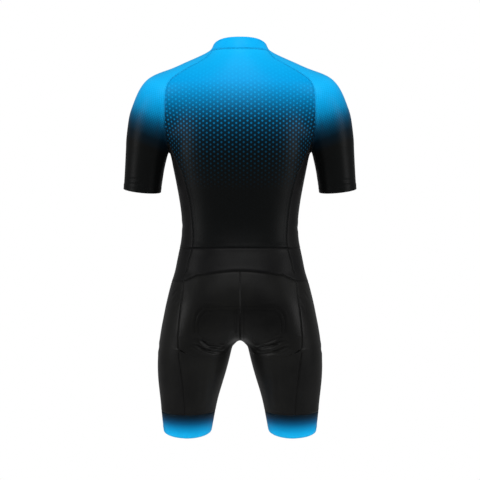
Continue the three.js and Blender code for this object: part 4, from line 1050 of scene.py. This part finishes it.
cuffs = opens[low_on_sleeve(middles[opens], CUFF_HEIGHT)]
neck = opens[(middles[opens, 2] > 0.0)]
zip_edges = opens[(np.abs(middles[opens, 0]) < 0.012) & (middles[opens, 1] < 0) & (middles[opens, 2] < -0.04)]
upper_rows = together(
    rows_beside(high, every, (SEAM_ROW,)),
    rows_beside(seam_of("back_panel", "side_panel"), ["back_panel"], SIDE_ROWS),
    rows_beside(seam_of("back_panel", "back_yoke"), ["back_panel"], WAIST_ROWS),
    rows_beside(cuffs, every, CUFF_ROWS),
    rows_beside(zip_edges, every, EDGE_ROW),
)
lower_rows = together(
    rows_beside(low, every, (SEAM_ROW,)),
    rows_beside(seam_of("side_panel", "hip_side"), named("hip_side"), HIP_ROWS),
    rows_beside(seam_of("leg_band", "seat"), named("seat"), BAND_ROW),
    rows_beside(seam_of("leg_band", "thigh_side"), named("thigh_side"), BAND_ROW),
    rows_beside(seam_of("leg_band", "front_leg"), named("front_leg"), BAND_ROW),
)
pad_rows = drawn_rows([PAD_OUTLINE, PAD_INNER] + SEAT_ROWS)
sew("pad_outline_stitches", *pad_rows, DARK_THREAD, "shorts_cloth", radius=PAD_THREAD_RADIUS)
sew("upper_seam_stitches", *upper_rows, THREAD, "black_cloth")
sew("lower_seam_stitches", *lower_rows, THREAD, "shorts_cloth")
blue_rows = together(rows_beside(blue, every, (SEAM_ROW,)), rows_beside(neck, every, EDGE_ROW))
sew("blue_seam_stitches", *blue_rows, BLUE_THREAD, "collar_cloth")

# %% [markdown]
# The seat pad is a moulded foam sheet under thin jersey, sewn inside the shorts. The frame already gives
# its form, so a copy of that is rounded by subdivision until no facet or hard edge is left.

# %% Pad
pad = merged_copy("seat_pad")
pad_object = add_object("seat_pad_foam", pad, MATERIALS["pad_foam"])
rounding = pad_object.modifiers.new("soft_edges", "SUBSURF")
rounding.levels = 2
rounding.render_levels = 2
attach(pad_object, "suit")
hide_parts("seat_pad")

# %% [markdown]
# The tapes, the coil's core, the slider and its tab are hard enough to keep the frame's own shape. They
# only need their finish, which goes into the material slot of each.

# %% Zip
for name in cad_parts:
    if name.startswith("zip"):
        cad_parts[name].material_slots[0].material = MATERIALS[SLOTS[name]]

# %% [markdown]
# A coil zip is a nylon wire wound round a cord, so close that it shows as a fine braid of loops. Here
# each loop is a bead, laid in two rows on the coil of the frame, half a step apart.

# %% Zip coil
COIL_STEP = 1.5 * MM
COIL_SIDE = 0.9 * MM
COIL_BEAD = np.array((1.0, 0.45, 0.55)) * MM

coil_low, coil_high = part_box("zip_coil")
coil_tree = BVHTree.FromPolygons(
    [v.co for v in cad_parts["zip_coil"].data.vertices],
    [p.vertices[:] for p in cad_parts["zip_coil"].data.polygons],
)
placed = []
for k in range(int((coil_high[2] - coil_low[2]) / COIL_STEP)):
    for side in (-1, 1):
        height = coil_low[2] + COIL_STEP * (k + 0.5 + side / 4)
        hit, facing, _, _ = coil_tree.ray_cast(Vector((side * COIL_SIDE, -1, height)), Vector((0, 1, 0)))
        if hit is not None:
            placed.append(BEAD_POINTS * COIL_BEAD[[0, 2, 1]] + np.array(hit))
join_beads("zip_coil_loops", placed, MATERIALS["zip_coil"])
